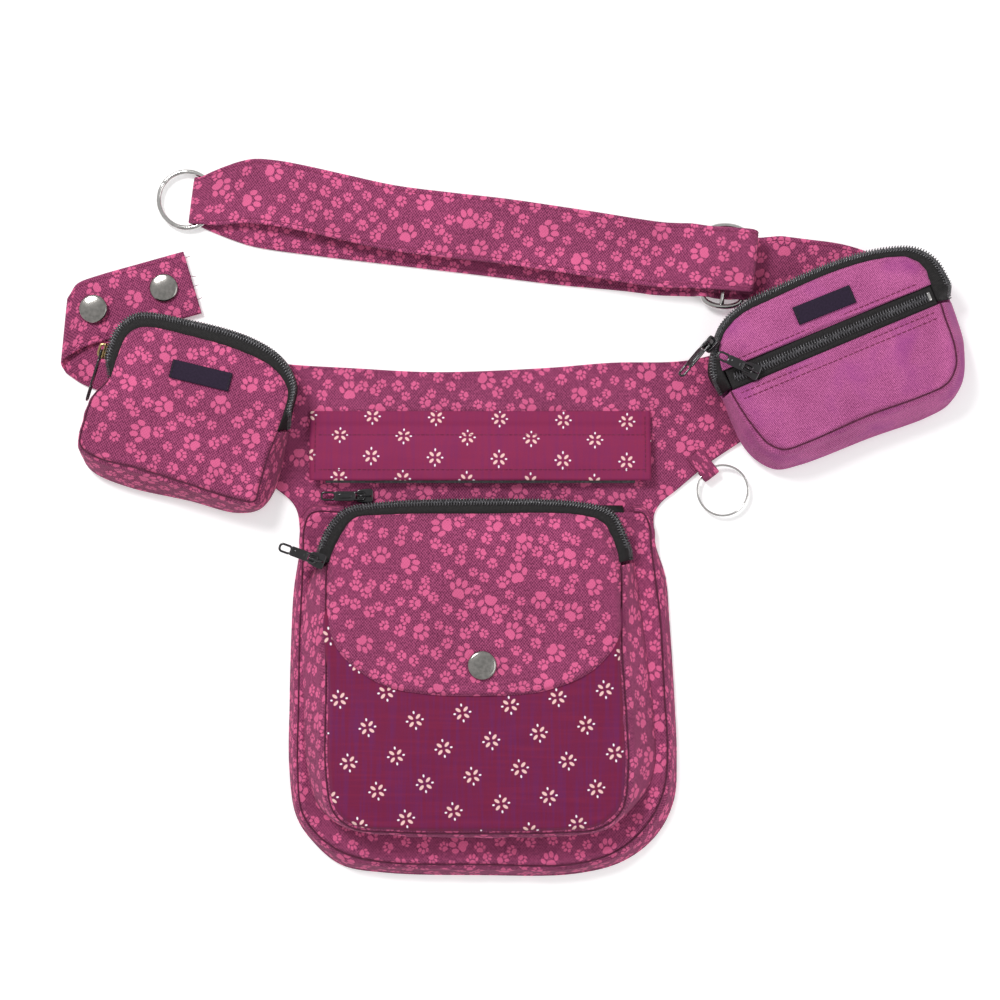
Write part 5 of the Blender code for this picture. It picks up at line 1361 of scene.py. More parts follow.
@dataclass(frozen=True)
class Slider:
    """A zip slider: a rounded body, narrower behind, with a swept arch over it."""

    name: str                     # its node's name, without _slider
    seat: Seat
    finish: Finish = Finish.LACQUER
    arch: bool = True
    length: float = 0.0088
    width: float = 0.0076
    height: float = 0.0022
    arch_rise: float = 0.0031

    def build(self) -> None:
        """Make the body as two plates with a waist between them, and the arch."""
        draft = Draft()
        size = np.array([self.length, self.width, self.height])
        for shares, middle, taper in (((1.0, 1.0, 0.42), 0.79, 0.14), ((0.96, 0.96, 0.40), 0.20, 0.14),
                                      ((0.7, 0.55, 1.0), 0.5, 0.0)):
            add_block(draft, self.seat, size * shares, (0, 0, self.height * middle), taper)
        if self.arch:
            angle = np.linspace(0.0, math.pi, 19)
            sharp = np.abs(np.cos(angle)) ** 0.45 * np.sign(np.cos(angle))
            rise = self.arch_rise - 0.0005 + self.height * 0.2
            arc = self.height * 0.8 + np.sin(angle) ** 0.55 * rise
            path = np.stack([sharp * 0.0033, 0 * angle, arc], axis=-1)
            add_tube(draft, self.seat, path, circle(0.00072, 12, 0.75), (0, 1, 0), False)
        Tag(f"{self.name}_zip_slider", self.finish, f"{self.name}_slider").make(draft)


@dataclass(frozen=True)
class Pull:
    """A zip pull: a ring round its eye, a dished plate and a ring round the window at its tip."""

    name: str                     # of its node and its body
    seat: Seat                    # its origin is the pull's axis
    length: float
    width: float = 0.0052
    thickness: float = 0.0011
    bar: float = 0.00125
    neck: float = 0.0052          # where the plate starts

    def build(self) -> None:
        """Make the two loops and the plate between them."""
        draft = Draft()
        half = (self.width - self.bar) / 2
        section = circle(self.bar / 2, 12, self.thickness / self.bar)
        first = self.length * 0.67
        for x0, x1, corner in ((0.0, 0.0057, 0.0011), (first, self.length - self.bar / 2, 0.0016)):
            add_tube(draft, self.seat, rounded_loop(x0, x1, half, corner), section, UP, True)
        centre = ((first + self.neck) / 2, 0, 0)
        plate = (first - self.neck + self.bar * 0.8, self.width, self.thickness * 0.92)
        add_block(draft, self.seat, plate, centre, power=0.22)
        rib = (first - 0.0080, self.width * 0.5, self.thickness * 1.3)
        add_block(draft, self.seat, rib, centre, power=0.5)
        Tag(f"{self.name}_plate", Finish.LACQUER, self.name, self.name).make(draft)


@dataclass(frozen=True)
class Cap:
    """A snap's cap: a turned profile with a rolled rim and a shallow dish."""

    tag: Tag
    seat: Seat
    radius: float = CAP_RADIUS
    height: float = CAP_HEIGHT

    def build(self) -> None:
        """Make the turned surface: each row of the profile is a circle."""
        profile = np.array([(0.90, 0.0), (1.0, 0.12), (1.01, 0.3), (0.985, 0.5), (0.93, 0.66), (0.86, 0.74),
                            (0.80, 0.76), (0.70, 0.84), (0.5, 0.93), (0.3, 0.98), (0.12, 1.0)])
        turn = np.arange(48) * 2 * math.pi / 48
        r, h = profile[:, :1] * self.radius, profile[:, 1:] * self.height
        points = np.stack([r * np.cos(turn), r * np.sin(turn), np.broadcast_to(h, (len(r), 48))], axis=-1)
        draft = Draft()
        start = len(draft.faces)
        numbers = draft.add(self.seat.move(points))
        uv = points[..., :2]
        draft.patch(numbers, uv, wrap=True)
        poles = self.seat.move(np.array([[0.0, 0.0, 0.0], [0.0, 0.0, self.height]]))
        draft.close(numbers, uv, poles, np.zeros((2, 2)))
        draft.outward(start)
        self.tag.make(draft)


@dataclass(frozen=True)
class Label:
    """A bare woven label on a front, sewn along its ends."""

    node: str
    place: Frame
    at: tuple
    surface: Surface
    length: float = 0.0320
    height: float = 0.0098

    def build(self, threads: Threads) -> None:
        """Make the label's sheet: the front's height plus a clearance and raised end folds."""
        u, v = np.meshgrid(np.linspace(-0.5, 0.5, 41), np.linspace(0.5, -0.5, 15))
        flat = self.place.place(self.at[0] + u * self.length / self.place.width,
                                self.at[1] + v * self.height / self.place.height)
        fold = 0.00018 * np.exp(-(((0.5 - np.abs(u)) * self.length / 0.0014) ** 2))
        z = self.surface(flat[..., 0], flat[..., 1]) + PLY_GAP + 0.0005 + fold
        points = lifted(flat, z)
        draft = Draft()
        uv = np.stack([u * self.length, v * self.height], axis=-1)
        draft.patch(draft.add(points)[::-1], uv[::-1])
        thicken(Tag(f"{self.node}_cloth", Finish.LABEL, self.node).make(draft), 0.0006)
        for column in (1, -2):
            threads.sew(Finish.BLACK_THREAD, points[1:-1, column] + [0, 0, 0.0001], pitch=0.0022)


# Folds: x, y, x, y, half width and height, in millimetres
FRONT_CREASES = (
    (-94.6, -95.9, -76.1, -98.1, 1.5, 0.8), (29.9, -93.8, 64.9, -95.9, 1.4, 0.6),
    (2.4, -147.3, 47.4, -156.9, 2.2, 0.8), (8.2, -141.5, 42.7, -147.9, 2.0, 0.6),
    (-60.0, -120.0, -30.0, -128.0, 4.0, 0.5), (40.0, -112.0, 66.0, -104.0, 4.0, -0.5),
)
POUCH_CREASES = (
    (134.0, 61.0, 146.0, 64.0, 4.0, -0.9), (229.0, 84.0, 233.0, 102.0, 4.0, -0.9),
    (199.0, 134.0, 209.0, 135.0, 3.5, -0.7), (160.0, 66.0, 185.0, 60.0, 5.0, 0.5),
)


PANEL_CLOTH = 0.0013      # of the magenta panels
PIPING = 0.0030           # from a pouch's foot up to its crease seam
BACK_MIDDLE = (-0.0114, 0.035)        # a point that sees the whole outline of the belt
FLAP_FLAT = (0.154, 0.094)            # sizes and areas of the sheets before they were sewn or folded
FLAP_AREA = 0.0128
POCKET_FLAT = (0.155, 0.124)
POCKET_AREA = 0.0178
COVER_DROP = 1.07         # how much longer the strip's lower half is drawn
COVER_PITCH = 0.0026      # of the flap's and the strip's stitches
COVER_STITCHES = (0.36, 0.86)         # shares of the way down
REAR_COIL_END = 0.030     # past this x the rear zip's coil doesn't show
# Stitches along the pocket zip of the right pouch: distance past its opening, and first share
POCKET_STITCHES = ((-0.0032, 0.03), (-0.0066, 0.03), (0.0030, 0.05))


def corners(rows: int) -> int:
    """How many points of an outline reach from its first row to a later one."""
    return (rows - 1) * SPAN_STEPS + 1


def dome_of(place: Frame, rows: Sequence, plane: Surface, crown: float) -> tuple:
    """A pouch's rim table and the dome over its seam."""
    rim = outline(place, rows)
    return rim, Dome(rim[:, :2], plane, crown)


def zip_run(rim: Array, wall: int, surface: Surface, floor: Surface) -> tuple:
    """Seam and foot lines of the part of a rim that a zip closes, drawn in at both ends."""
    part = np.vstack([rim[wall - 1 :], rim[:1]])
    far = lengths(part)
    part = part[(far > 0.0006) & (far < far[-1] - 0.0006)]
    seam = np.column_stack([part[:, :2], surface(part[:, 0], part[:, 1])])
    return seam, np.column_stack([part[:, 2:4], floor(part[:, 2], part[:, 3])])


def level(height: float) -> Surface:
    """A level surface."""
    return lambda x, y: np.full(np.shape(x), height)


class MainBag:
    """The belt's back, the rear and front compartments, the slip pocket, the flap and the plum strip."""

    def __init__(self, threads: Threads) -> None:
        """Work out the front's dome."""
        self.threads = threads
        self.rim, self.dome = dome_of(FRONT, FRONT_ROWS, front_plane, FRONT_CROWN)

    def face(self, x: Array, y: Array) -> Array:
        """The front's outer face: the dome, with soft swells."""
        return self.dome.height(x, y) + 0.0005 * swell(x, y, 0.055, 11) * (1 - self.dome.share(x, y) ** 4)

    def build_back(self) -> None:
        """The belt and back."""
        Layer(Tag("belt_back", Finish.PAW, "back_panel"), BAG, outline(BAG, BACK_ROWS), 0.0, BACK_TOP,
              BACK_MIDDLE).build()

    def build_rear(self) -> None:
        """The rear compartment with its zip."""
        rim = outline(BAG, REAR_ROWS)
        wall = corners(REAR_WALL_ROWS)
        plane = lambda x, y: REAR_PLANE(y)
        Shell(Tag("rear_shell", Finish.PAW, "rear_compartment"), BAG, rim[:, :2], rim[:wall],
              plane, level(REAR_FOOT), REAR_DEPTH, pucker=0.0001, threads=self.threads).build()
        RimZip("rear_zip", "rear_zip", *zip_run(rim, wall, plane, level(REAR_FOOT)), middle=0.62,
               coil_end=REAR_COIL_END).build()

    def build_front(self) -> None:
        """The front compartment with its zip."""
        wall = corners(FRONT_WALL_ROWS)
        floor = lambda x, y: REAR_PLANE(y) + GAP
        Shell(Tag("front_shell", Finish.PAW, "front_compartment"), FRONT, self.rim[:, :2],
              self.rim[:wall], self.face, floor, FRONT_DEPTH, threads=self.threads).build()
        run = zip_run(self.rim, wall, lambda x, y: front_plane(y), floor)
        RimZip("front_zip", "front_zip", *run).build()

    def layer(self, tag: Tag, ring: Array, lift: Surface, flat: tuple, area: float, held: str) -> None:
        """A sewn-on layer of the front, which follows it at a lift."""
        piece = Shell(tag, FRONT, ring, NO_RIM, lambda x, y: self.face(x, y) + lift(x, y),
                      level(0.0), 0.0, THIN_CLOTH * 0.8, 0.00016).build()

    def build_pocket(self) -> None:
        """The plum slip pocket."""
        def lift(x: Array, y: Array) -> Array:
            """The ply under it, pressed folds and small bumps."""
            bumps = 0.00035 * swell(x, y, 0.016, 21) ** 2
            return PLY_GAP + THIN_CLOTH + creases(x, y, FRONT_CREASES) + bumps

        self.layer(Tag("slip_pocket_cloth", Finish.POCKET, "slip_pocket"), outline(FRONT, POCKET_ROWS), lift,
                   POCKET_FLAT, POCKET_AREA, "laid")

    def build_flap(self) -> None:
        """The flap, stitched round its edge, with its snap cap."""
        ring = outline(FRONT, FLAP_ROWS)
        top = ring[:, 1].max()
        rise = THIN_CLOTH + PLY_GAP

        def lift(x: Array, y: Array) -> Array:
            """Clear of the pocket, and down on the compartment along the sewn top edge."""
            clear = rise * np.clip((top - y) / 0.015, 0.0, 1.0)
            return PLY_GAP + THIN_CLOTH + clear + 0.00025 * swell(x, y, 0.03, 31)

        self.layer(Tag("flap_cloth", Finish.PAW, "flap"), ring, lift, FLAP_FLAT, FLAP_AREA, "folded")
        centre = ring.mean(axis=0)
        line = centre + (ring - centre) * (1 - 0.0028 / np.linalg.norm(ring - centre, axis=1))[:, None]
        z = self.face(line[:, 0], line[:, 1]) + lift(line[:, 0], line[:, 1]) + 0.0004
        self.threads.sew(Finish.PLUM_THREAD, np.column_stack([line, z]), pitch=COVER_PITCH)
        x, y = FRONT.place(*FLAP_SNAP)
        step = CAP_RADIUS
        slope_x = float(self.dome.height(x + step, y) - self.dome.height(x - step, y)) / (2 * step)
        slope_y = float(self.dome.height(x, y + step) - self.dome.height(x, y - step)) / (2 * step)
        low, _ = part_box("flap_snap")
        origin = (x, y, low.z + 0.0002)
        heading = math.degrees(math.atan2(slope_x, -slope_y))
        seat = Seat(origin, heading, -math.degrees(math.hypot(slope_x, slope_y)))
        Cap(Tag("flap_snap_cap", Finish.CAP, "flap_snap"), seat).build()

    def build_cover(self) -> None:
        """The plum strip over the hidden zip: a sheet with a pleat, sewn down along its top."""
        rows = curve_through(np.array(COVER_ROWS) * [COVER.height, COVER_LIFT], 8, False)
        u = np.linspace(0.5, -0.5, 121)
        v = rows[:, :1] / COVER.height
        v = np.where(v < 0, v * COVER_DROP, v)
        flat = COVER.place(u[None] * np.ones_like(v), v * np.ones_like(u))
        loose = np.clip((0.36 - v) / 0.6, 0.0, 1.0)
        along = u * COVER.width
        wide, down = np.broadcast_arrays(along[None], rows[:, :1])
        wave = loose * (0.0005 * swell(wide, down * 0.5, 0.040, 41) + 0.00018 * swell(wide, down, 0.011, 42))
        end = np.exp(-((0.5 - np.abs(u)) * COVER.width / 0.0016) ** 2) * 0.0004
        z = BACK_TOP + GAP + rows[:, 1:] + wave * (0.3 + loose) - end * np.clip(rows[:, 1:] / 0.002, 0, 1)
        z = np.maximum(z, BACK_TOP + 0.0001) + THIN_CLOTH * 0.7
        points = lifted(flat, z)
        draft = Draft()
        far = lengths(rows)
        uv = np.stack(np.broadcast_arrays(along[None], 0.5 - far[:, None]), axis=-1)
        draft.patch(draft.add(points), uv)
        piece = Tag("zip_cover_cloth", Finish.STRIP, "zip_cover").make(draft)
        thicken(piece, THIN_CLOTH * 0.8)
        lines = [points[np.argmin(np.abs(far / far[-1] - share)), 2:-2] for share in COVER_STITCHES]
        for line in (*lines, points[4:-2, 2], points[4:-2, -3]):
            self.threads.sew(Finish.PLUM_THREAD, line + [0.0, 0.0, 0.00008], pitch=COVER_PITCH)

    def build_covered_zip(self) -> None:
        """The zip under the strip: new teeth over the CAD tape, and a slider that shows no pull."""
        low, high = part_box("covered_zip")
        y, z = (low.y + high.y) / 2, BACK_TOP + GAP + 0.0013
        line = np.linspace([low.x + 0.001, y, z], [high.x - 0.001, y, z], 60)
        lay_teeth(Tag("covered_zip_coil", Finish.COIL), line, np.tile([0.0, 1.0, 0.0], (60, 1)))
        low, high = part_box("covered_slider")
        seat = Seat(((low.x + high.x) / 2, (low.y + high.y) / 2, low.z), 90.0)
        Slider("covered", seat, arch=False).build()

    def build(self) -> None:
        """Everything of the main bag."""
        self.build_back()
        self.build_rear()
        self.build_front()
        self.build_pocket()
        self.build_flap()
        self.build_cover()
        self.build_covered_zip()


class Pouch:
    """A pouch on a wing of the belt: what the two of them share."""

    name: str
    place: Frame
    rows: Sequence
    wall_rows: int
    bottom: float                 # of its back, over the floor
    cloth: Finish
    swells: tuple                 # height and seed
    label: tuple

    def __init__(self, threads: Threads) -> None:
        """Work out its dome."""
        self.threads = threads
        self.foot = self.bottom + THIN_CLOTH + GAP
        self.rim, self.dome = dome_of(self.place, self.rows, lambda y: self.foot + POUCH_DEPTH, POUCH_CROWN)
        self.wall = corners(self.wall_rows)

    def folds(self, x: Array, y: Array) -> Array:
        """Pressed folds of the front: none, unless a pouch has its own."""
        return np.zeros(np.shape(x))

    def face(self, x: Array, y: Array) -> Array:
        """The pouch's outer face, with soft swells and folds that fade at the seam."""
        height, seed = self.swells
        soft = height * swell(x, y, 0.045, seed) + self.folds(x, y)
        return self.dome.height(x, y) + soft * (1 - self.dome.share(x, y) ** 4)

    def build_back(self) -> None:
        """Its back, over the belt."""
        Layer(Tag(f"{self.name}_back_cloth", self.cloth, f"{self.name}_back"), self.place, self.rim[:, 2:4],
              self.bottom, THIN_CLOTH).build()

    def build_zip(self, name: str, node: str) -> None:
        """The zip round its rim."""
        run = zip_run(self.rim, self.wall, self.dome.height, level(self.foot))
        RimZip(name, node, *run).build()

    def build_label(self) -> None:
        """Its bare label."""
        Label(f"{self.name}_label", self.place, self.label, self.face).build(self.threads)


class LeftPouch(Pouch):
    """The printed pouch on the left wing."""

    name, place, rows, wall_rows, bottom = "left_pouch", LEFT, LEFT_ROWS, LEFT_WALL_ROWS, LEFT_BACK
    cloth, swells, label = Finish.PAW, (0.0006, 51), LEFT_LABEL

    def build(self) -> None:
        """Back, shell, zip and label."""
        self.build_back()
        Shell(Tag("left_pouch_shell", self.cloth, "left_pouch"), LEFT, self.rim[:, :2], self.rim[: self.wall],
              self.face, level(self.foot), POUCH_DEPTH, piping=PIPING, threads=self.threads).build()
        self.build_zip("left_pouch_zip", "left_pouch_zip")
        self.build_label()


class RightPouch(Pouch):
    """The magenta pouch on the right wing, with a pocket zip across its front and a zip round its top."""

    name, place, rows, wall_rows, bottom = "right_pouch", RIGHT, RIGHT_ROWS, RIGHT_WALL_ROWS, RIGHT_BACK
    cloth, swells, label = Finish.MAGENTA, (0.0007, 61), RIGHT_LABEL

    def folds(self, x: Array, y: Array) -> Array:
        """Dimples and a fold of the stiff canvas."""
        return creases(x, y, POUCH_CREASES)

    def panel(self, line: Array) -> Array:
        """A panel's outline: its part of the rim, and points on the chord between its corners."""
        chord = line[-1] + (line[0] - line[-1]) * np.linspace(0, 1, 42)[1:-1, None]
        return np.vstack([line, chord])

    def build_panels(self, upper: Array) -> None:
        """Lower panel with its gusset, and upper panel."""
        lower = self.rim[: self.wall]
        Shell(Tag("right_pouch_shell", self.cloth, "right_pouch"), RIGHT, self.panel(lower[:, :2]), lower,
              self.face, level(self.foot), POUCH_DEPTH, PANEL_CLOTH, 0.00034, PIPING, self.threads).build()
        Shell(Tag("right_pouch_upper_cloth", self.cloth, "right_pouch_upper"), RIGHT, self.panel(upper),
              NO_RIM, self.face, level(self.foot), POUCH_DEPTH, PANEL_CLOTH, 0.00030).build()

    def build_pocket_zip(self, upper: Array) -> None:
        """The zip across the front: tape, coil and stop, and the stitches on either side."""
        start, end = (self.rim[0, :2] + upper[-1]) / 2, (self.rim[self.wall - 1, :2] + upper[0]) / 2
        way = unit(end - start)
        side = np.array([-way[1], way[0]])
        room = abs(np.dot(upper[-1] - self.rim[0, :2], side)) - 0.0004
        u, v = np.meshgrid(np.linspace(0.012, 0.988, 121), np.linspace(0.62, -0.62, 19))
        flat = start + (end - start) * u[..., None] + side * (v * room)[..., None]
        edge = 0.0013 * np.clip((np.abs(v) - 0.42) / 0.12, 0.0, 1.0)
        points = lifted(flat, self.face(flat[..., 0], flat[..., 1]) - 0.0007 - edge)
        draft = Draft()
        uv = np.stack([u * RIGHT.width, v * room], axis=-1)
        draft.patch(draft.add(points)[::-1], uv[::-1])
        thicken(Tag("right_pouch_front_tape", Finish.TAPE, "right_pouch_front_zip").make(draft), 0.0006)
        line = points[9, 3:-3] + [0.0, 0.0, 0.0006]
        across = np.tile([*side, 0.0], (len(line), 1))
        lay_teeth(Tag("right_pouch_front_coil", Finish.COIL), line, across, 0.0042)
        stop = Draft()
        seat = Seat(tuple(points[9, -4] + [0, 0, 0.0008]), math.degrees(math.atan2(way[1], way[0])))
        add_block(stop, seat, (0.0016, 0.0046, 0.0016), power=0.3)
        Tag("right_pouch_front_stop", Finish.NICKEL).make(stop)
        for offset, first in POCKET_STITCHES:
            share = np.linspace(first, 1 - first, 90)[:, None]
            base = start + (end - start) * share + side * (math.copysign(room / 2, offset) + offset)
            z = self.face(base[:, 0], base[:, 1]) + 0.00015
            self.threads.sew(Finish.PLUM_THREAD, np.column_stack([base, z]), pitch=0.0030)

    def build(self) -> None:
        """Everything of the right pouch."""
        first, last = (row * SPAN_STEPS for row in RIGHT_UPPER_ROWS)
        upper = self.rim[first : last + 1, :2]
        self.build_back()
        self.build_panels(upper)
        self.build_zip("right_pouch_top", "right_pouch_top_zip")
        self.build_pocket_zip(upper)
        self.build_label()


STRAP_ON_BELT = BACK_TOP + GAP + STRAP_CLOTH / 2
STRAP_ON_FLOOR = STRAP_CLOTH / 2


class SnapStrap:
    """The folded tail with its two snap caps."""

    def __init__(self, threads: Threads) -> None:
        """Work out its stations."""
        self.threads = threads
        low, high = STRAP_ON_FLOOR + 4 * STRAP_CLOTH / 3, STRAP_ON_FLOOR + 2.6 * STRAP_CLOTH
        self.lower = rows_on(LEFT, TAIL_LOWER, STRAP_ON_FLOOR, STRAP_ON_BELT, 3)
        self.upper = rows_on(LEFT, TAIL_UPPER, low, high, 3)

    def build(self) -> None:
        """Strap, caps and the threads of its cut end."""
        turned = half_turn(self.lower[-1], self.upper[0], LEFT.turn + TAIL_LOWER[-1][2] + 90.0)
        stations = np.vstack([self.lower, turned, self.upper])
        strap = Strap(Tag("snap_strap_cloth", Finish.PAW, "snap_strap"), stations, STRAP_CLOTH, 0.00012, 71)
        piece, length = strap.build(self.threads, Finish.PLUM_THREAD)
        for number, (u, v) in enumerate(TAIL_CAPS, 1):
            x, y = LEFT.place(u, v)
            low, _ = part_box(f"snap_cap_{number}")
            Cap(Tag(f"snap_cap_{number}_metal", Finish.CAP, f"snap_cap_{number}"),
                Seat((float(x), float(y), low.z), 0.0)).build()
        end = self.upper[-1]
        angle = math.radians(end[3])
        random = np.random.default_rng(81)
        cross = np.array([math.cos(angle), math.sin(angle), 0.0])
        way = unit(end[:3] - self.upper[-2, :3])
        roots = end[:3] + cross * random.uniform(-0.48, 0.48, (4, 1)) * STRAP_WIDTH
        ways = unit(way + cross * random.uniform(-0.9, 0.9, (4, 1)))
        self.threads.fray(Finish.PLUM_THREAD, roots, ways, 0.0024)


class LongStrap:
    """The long strap, its ring and its tri-glide."""

    def __init__(self, threads: Threads) -> None:
        """Work out the weave at the tri-glide: rows of distance from its middle bar, and height."""
        self.threads = threads
        half = WIRE / 2
        self.bar = 2 * STRAP_CLOTH + 3 * GAP + half
        self.over = self.bar + half + STRAP_CLOTH / 2 + 1.5 * GAP
        self.ply = STRAP_CLOTH + 1.5 * GAP
        low, over, ply = STRAP_ON_FLOOR, self.over, self.ply
        side = ((GLIDE_PITCH + WIRE * 2.2, low), (GLIDE_PITCH + WIRE * 1.4, low + 0.38 * self.bar),
                (GLIDE_PITCH + WIRE * 0.92, over - 1.1 * STRAP_CLOTH), (GLIDE_PITCH, over),
                (GLIDE_PITCH - WIRE * 0.93, over - STRAP_CLOTH), (GLIDE_PITCH * 0.43, low + STRAP_CLOTH),
                (GLIDE_PITCH * 0.14, low))
        self.belt = [*side, *((-s, z) for s, z in reversed(side))]
        near = ((GLIDE_PITCH, over + ply * 1.03), (GLIDE_PITCH * 0.81, over + ply * 0.62),
                (GLIDE_PITCH * 0.59, over - 0.2 * STRAP_CLOTH), (GLIDE_PITCH * 0.29, low + ply * 1.42))
        self.loop = [(GLIDE_PITCH * LOOP_END, over + ply * 1.1), *near, (0.0, low + ply * 1.03),
                     *((-s, z) for s, z in reversed(near[1:])), (-GLIDE_PITCH, over + ply * 1.1)]

    def at_glide(self, rows: Sequence, shift: float, share: float) -> Array:
        """Stations at the tri-glide from rows of distance and height."""
        s, z = np.array(rows, float).T
        flat = GLIDE.place(s, np.full(len(s), shift))
        return stations_of(flat, z, GLIDE.turn + 90.0, STRAP_WIDTH * share)

    def along(self, rows: Sequence, low: float, high: float) -> Array:
        """Stations between the tri-glide and the ring."""
        u, v, rise, width = np.array(rows, float).T
        z = low + (high - low) * rise
        placed = stations_of(LOOP.place(u, v), z, LOOP.turn - 90.0, STRAP_WIDTH * width)
        return curve_through(placed, 2, False)

    def stations(self) -> Array:
        """The strap's stations from the belt round the ring and back to its sewn loop."""
        first = rows_on(RIGHT, BELT_LOWER, STRAP_ON_BELT, STRAP_ON_BELT, 3)
        upper = rows_on(RIGHT, BELT_UPPER, STRAP_ON_FLOOR, STRAP_ON_BELT + STRAP_CLOTH + GAP, 3)
        ring_top = STRAP_ON_FLOOR + STRAP_CLOTH + RING_WIRE + 2 * GAP
        lower = self.along(LOOP_LOWER, STRAP_ON_FLOOR, STRAP_ON_FLOOR)
        back = self.along(LOOP_UPPER, ring_top, self.over + 2 * self.ply)
        high = self.over + 3.9 * self.ply
        crest = self.at_glide((
            (-1.03 * GLIDE_PITCH, self.over + 2.6 * self.ply), (-0.4 * GLIDE_PITCH, high - 0.5 * self.ply),
            (0.4 * GLIDE_PITCH, high), (LOOP_END * GLIDE_PITCH, high)), LOOP_SHIFT, 0.97)
        under = self.at_glide(self.loop, LOOP_SHIFT * 0.7, 0.95)
        parts = [first, half_turn(first[-1], upper[0], RIGHT.turn + BELT_LOWER[-1][2] - 90.0), upper,
                 self.at_glide(self.belt, 0.0, 1.0), lower, half_turn(lower[-1], back[0], LOOP.turn), back,
                 crest, half_turn(crest[-1], under[0], GLIDE.turn), under]
        return np.vstack(parts)

    def build_ring(self) -> None:
        """The O-ring: a closed round wire with a weld."""
        low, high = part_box("o_ring")
        seat = Seat(tuple((low + high) / 2), 0.0)
        turn = np.arange(96) * 2 * math.pi / 96
        path = np.stack([RING_RADIUS * np.cos(turn), RING_RADIUS * np.sin(turn), 0 * turn], axis=-1)
        weld = 1 + 0.06 * np.exp(-((turn - 2.4) / 0.05) ** 2) - 0.05 * np.exp(-((turn - 2.55) / 0.04) ** 2)
        section = circle(RING_WIRE / 2, 18)[None] * weld[:, None, None]
        draft = Draft()
        add_tube(draft, seat, path, section, (0, 0, 1), True)
        Tag("o_ring_wire", Finish.NICKEL, "o_ring").make(draft)

    def build_glide(self) -> None:
        """The tri-glide: an oval of round wire with a bar across its middle."""
        seat = Seat((GLIDE.x, GLIDE.y, self.bar), GLIDE.turn)
        turn = np.linspace(0, math.pi, 19)
        arc = np.stack([GLIDE_PITCH * np.cos(turn), GLIDE_STRAIGHT + GLIDE_END * np.sin(turn), 0 * turn], -1)
        steps = np.linspace(0, 1, 9)[1:-1, None]
        side = arc[-1] + (-arc[0] - arc[-1]) * steps
        path = np.concatenate([arc, side, -arc, -side])
        draft = Draft()
        add_tube(draft, seat, path, circle(WIRE / 2, 18), (0, 0, 1), True)
        reach = GLIDE_STRAIGHT + GLIDE_END
        bar = np.linspace([0.0, -reach, 0.0], [0.0, reach, 0.0], 12)
        add_tube(draft, seat, bar, circle(WIRE * 0.45, 18), (0, 0, 1), False)
        Tag("tri_glide_wire", Finish.NICKEL, "tri_glide").make(draft)

    def build(self) -> None:
        """Strap, ring and tri-glide."""
        strap = Strap(Tag("adjustable_strap_cloth", Finish.PAW, "adjustable_strap"), self.stations(),
                      STRAP_CLOTH, 0.00012, 91, 4)
        piece, length = strap.build(self.threads, Finish.PLUM_THREAD)
        self.build_ring()
        self.build_glide()


class KeyRing:
    """The flat double coil and the cloth tab that holds it on the belt."""

    def build(self) -> None:
        """Ring and tab."""
        base = 2 * GAP + THIN_CLOTH
        draft = Draft()
        per_turn, turns = 72, 1.9
        step = np.arange(int(turns * per_turn) + 1)
        angle = math.radians(KEY.turn + 35.0) + 2 * math.pi * step / per_turn
        rise = base + (KEY_RING_WIRE + GAP * 0.6) * step / per_turn + KEY_RING_WIRE / 2
        path = np.stack([KEY.x + KEY_RING_RADIUS * np.cos(angle),
                         KEY.y + KEY_RING_RADIUS * np.sin(angle), rise], axis=-1)
        square = circle(KEY_RING_WIRE / 2, 12)
        square = np.sign(square) * np.abs(square / (KEY_RING_WIRE / 2)) ** 0.6 * KEY_RING_WIRE / 2
        tube_piece(draft, path, square, UP, False)
        Tag("key_ring_coil", Finish.NICKEL, "key_ring").make(draft)
        half_cloth = THIN_CLOTH / 2
        low = GAP + half_cloth
        high = base + turns * (KEY_RING_WIRE + GAP) + KEY_RING_WIRE + 2 * GAP + half_cloth
        bow = KEY_RING_RADIUS - math.sqrt(KEY_RING_RADIUS**2 - (TAB_WIDTH / 2) ** 2)
        inner = KEY_RING_RADIUS - KEY_RING_WIRE / 2 - bow - 3 * GAP
        outer = KEY_RING_RADIUS + 1.6 * KEY_RING_WIRE
        end = inner + TAB_LENGTH
        on_belt = BACK_TOP + GAP + half_cloth
        rows = np.array([(outer, low), (inner, low), (inner, high), (outer, high),
                         ((outer + end) / 2, on_belt + GAP), (end, on_belt)])
        flat = KEY.place(rows[:, 0], np.zeros(len(rows)))
        stations = stations_of(flat, rows[:, 1], KEY.turn + 90.0, TAB_WIDTH)
        turned = half_turn(stations[1], stations[2], KEY.turn + 180.0, 1.5 * THIN_CLOTH)
        stations = np.vstack([stations[:2], turned, stations[2:]])
        tab = Strap(Tag("ring_tab_cloth", Finish.PAW, "ring_tab"), stations, THIN_CLOTH, 0.00005, 95)
        tab.build(Threads())


# Heading and tilt in degrees, and length
PULLS = {
    "rear_pull": (180.0, 0.0, 0.0235), "front_pull": (160.0, 0.0, 0.0210),
    "left_pouch_pull": (253.0, 90.0, 0.0280), "right_pouch_top_pull": (230.0, 50.0, 0.0230),
    "right_pouch_front_pull": (155.0, 0.0, 0.0200),
}
PULL_RISE = 0.0033        # of a pull's axis over its slider's foot


def build_pulls() -> None:
    """Each pull on its joint's axis, and its slider under it."""
    for joint in frame["joints"]:
        name = joint["child"]
        heading, tilt, length = PULLS[name]
        axis = Seat(tuple(joint["pos_m"]), heading, tilt)
        foot = axis.move(np.array([0.0, 0.0, -PULL_RISE]))
        finish = Finish.BRASS if name == "left_pouch_pull" else Finish.LACQUER
        Slider(name.removesuffix("_pull"), Seat(tuple(foot), heading, tilt), finish).build()
        Pull(name, axis, length).build()


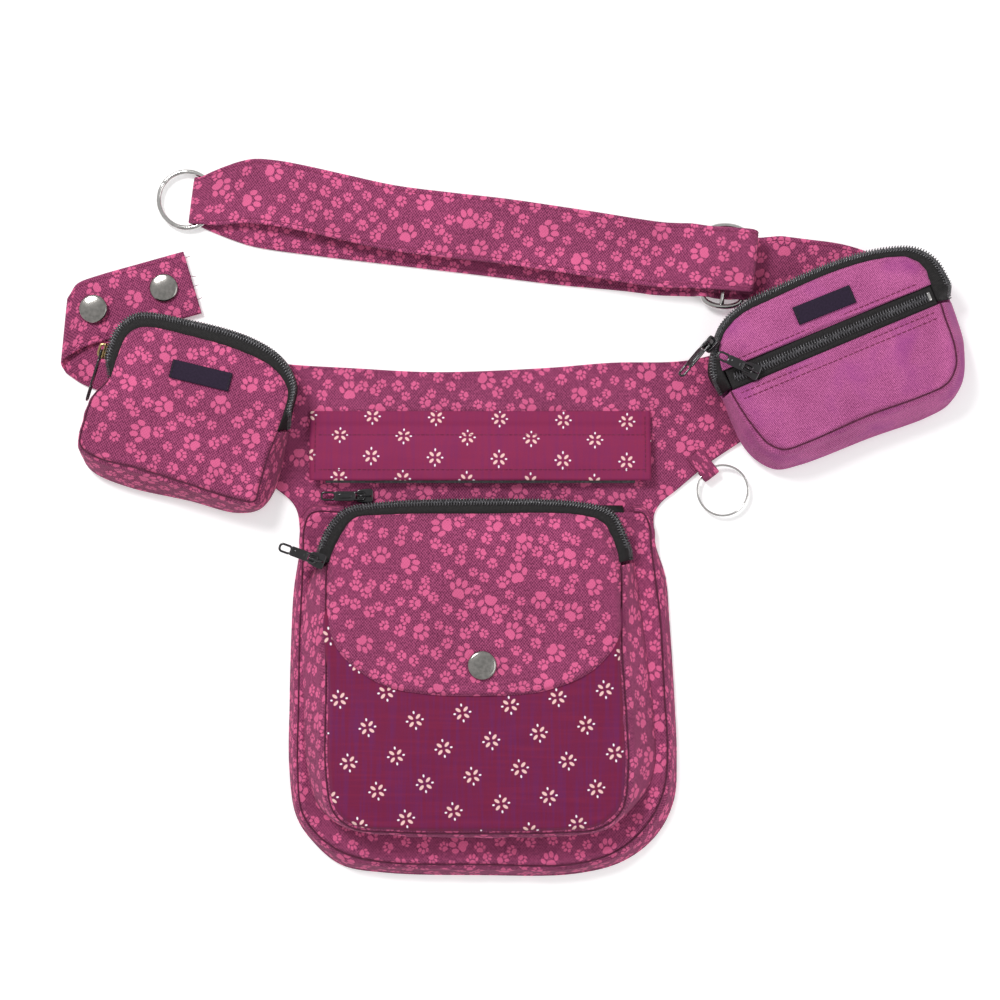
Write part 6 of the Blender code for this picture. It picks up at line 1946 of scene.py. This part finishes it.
class Studio:
    """A plain pale floor, soft lights and the camera that looks straight down."""

    def lamp(self, name: str, place: tuple, size: float, power: float) -> None:
        """An area light that points at the bag's middle."""
        data = bpy.data.lights.new(name, "AREA")
        data.size, data.energy = size, power
        made = add_object(name, data)
        made.location = place
        made.rotation_euler = (-made.location).to_track_quat("-Z", "Y").to_euler()

    def build(self) -> None:
        """Floor, lights, sky and camera."""
        mesh = bpy.data.meshes.new("floor")
        corner, low = 6.0, -0.0003
        places = [(x * corner, y * corner, low) for x, y in ((-1, -1), (1, -1), (1, 1), (-1, 1))]
        mesh.from_pydata(places, [], [(0, 1, 2, 3)])
        look = Look("floor", 0.9)
        white = (1.0, 1.0, 1.0, 1.0)
        look.shader.inputs["Base Color"].default_value = (0.93, 0.93, 0.93, 1.0)
        look.shader.inputs["Emission Color"].default_value = white
        look.shader.inputs["Emission Strength"].default_value = 0.25
        mesh.materials.append(look.material)
        add_object("floor", mesh)
        self.lamp("key", (-0.60, 0.80, 1.20), 0.40, 14.0)
        self.lamp("fill", (0.9, -0.2, 1.1), 0.9, 4.0)
        world = bpy.data.worlds.new("studio")
        world.use_nodes = True
        background = world.node_tree.nodes["Background"]
        background.inputs["Color"].default_value = white
        background.inputs["Strength"].default_value = 0.55
        bpy.context.scene.world = world
        bpy.context.scene.view_settings.view_transform = "Standard"
        camera = bpy.data.cameras.new("camera")
        camera.lens, camera.sensor_width = 80.83, 36.0
        made = add_object("camera", camera)
        made.location = (-0.0024, 0.0095, 1.2)
        bpy.context.scene.camera = made


def carry_over() -> None:
    """Give the CAD nodes that stay in view their finish."""
    for name, node in frame["nodes"].items():
        if not node.hide_render:
            node.data.materials.clear()
            node.data.materials.append(Finish.COIL())
            log.info("%s stays as CAD", name)


def main() -> None:
    """Build the bag and the studio."""
    logging.basicConfig(level=logging.INFO)
    threads = Threads()
    for section in (MainBag, LeftPouch, RightPouch, SnapStrap, LongStrap):
        section(threads).build()
    KeyRing().build()
    build_pulls()
    threads.build()
    carry_over()
    Studio().build()


if __name__ == "__main__":
    main()
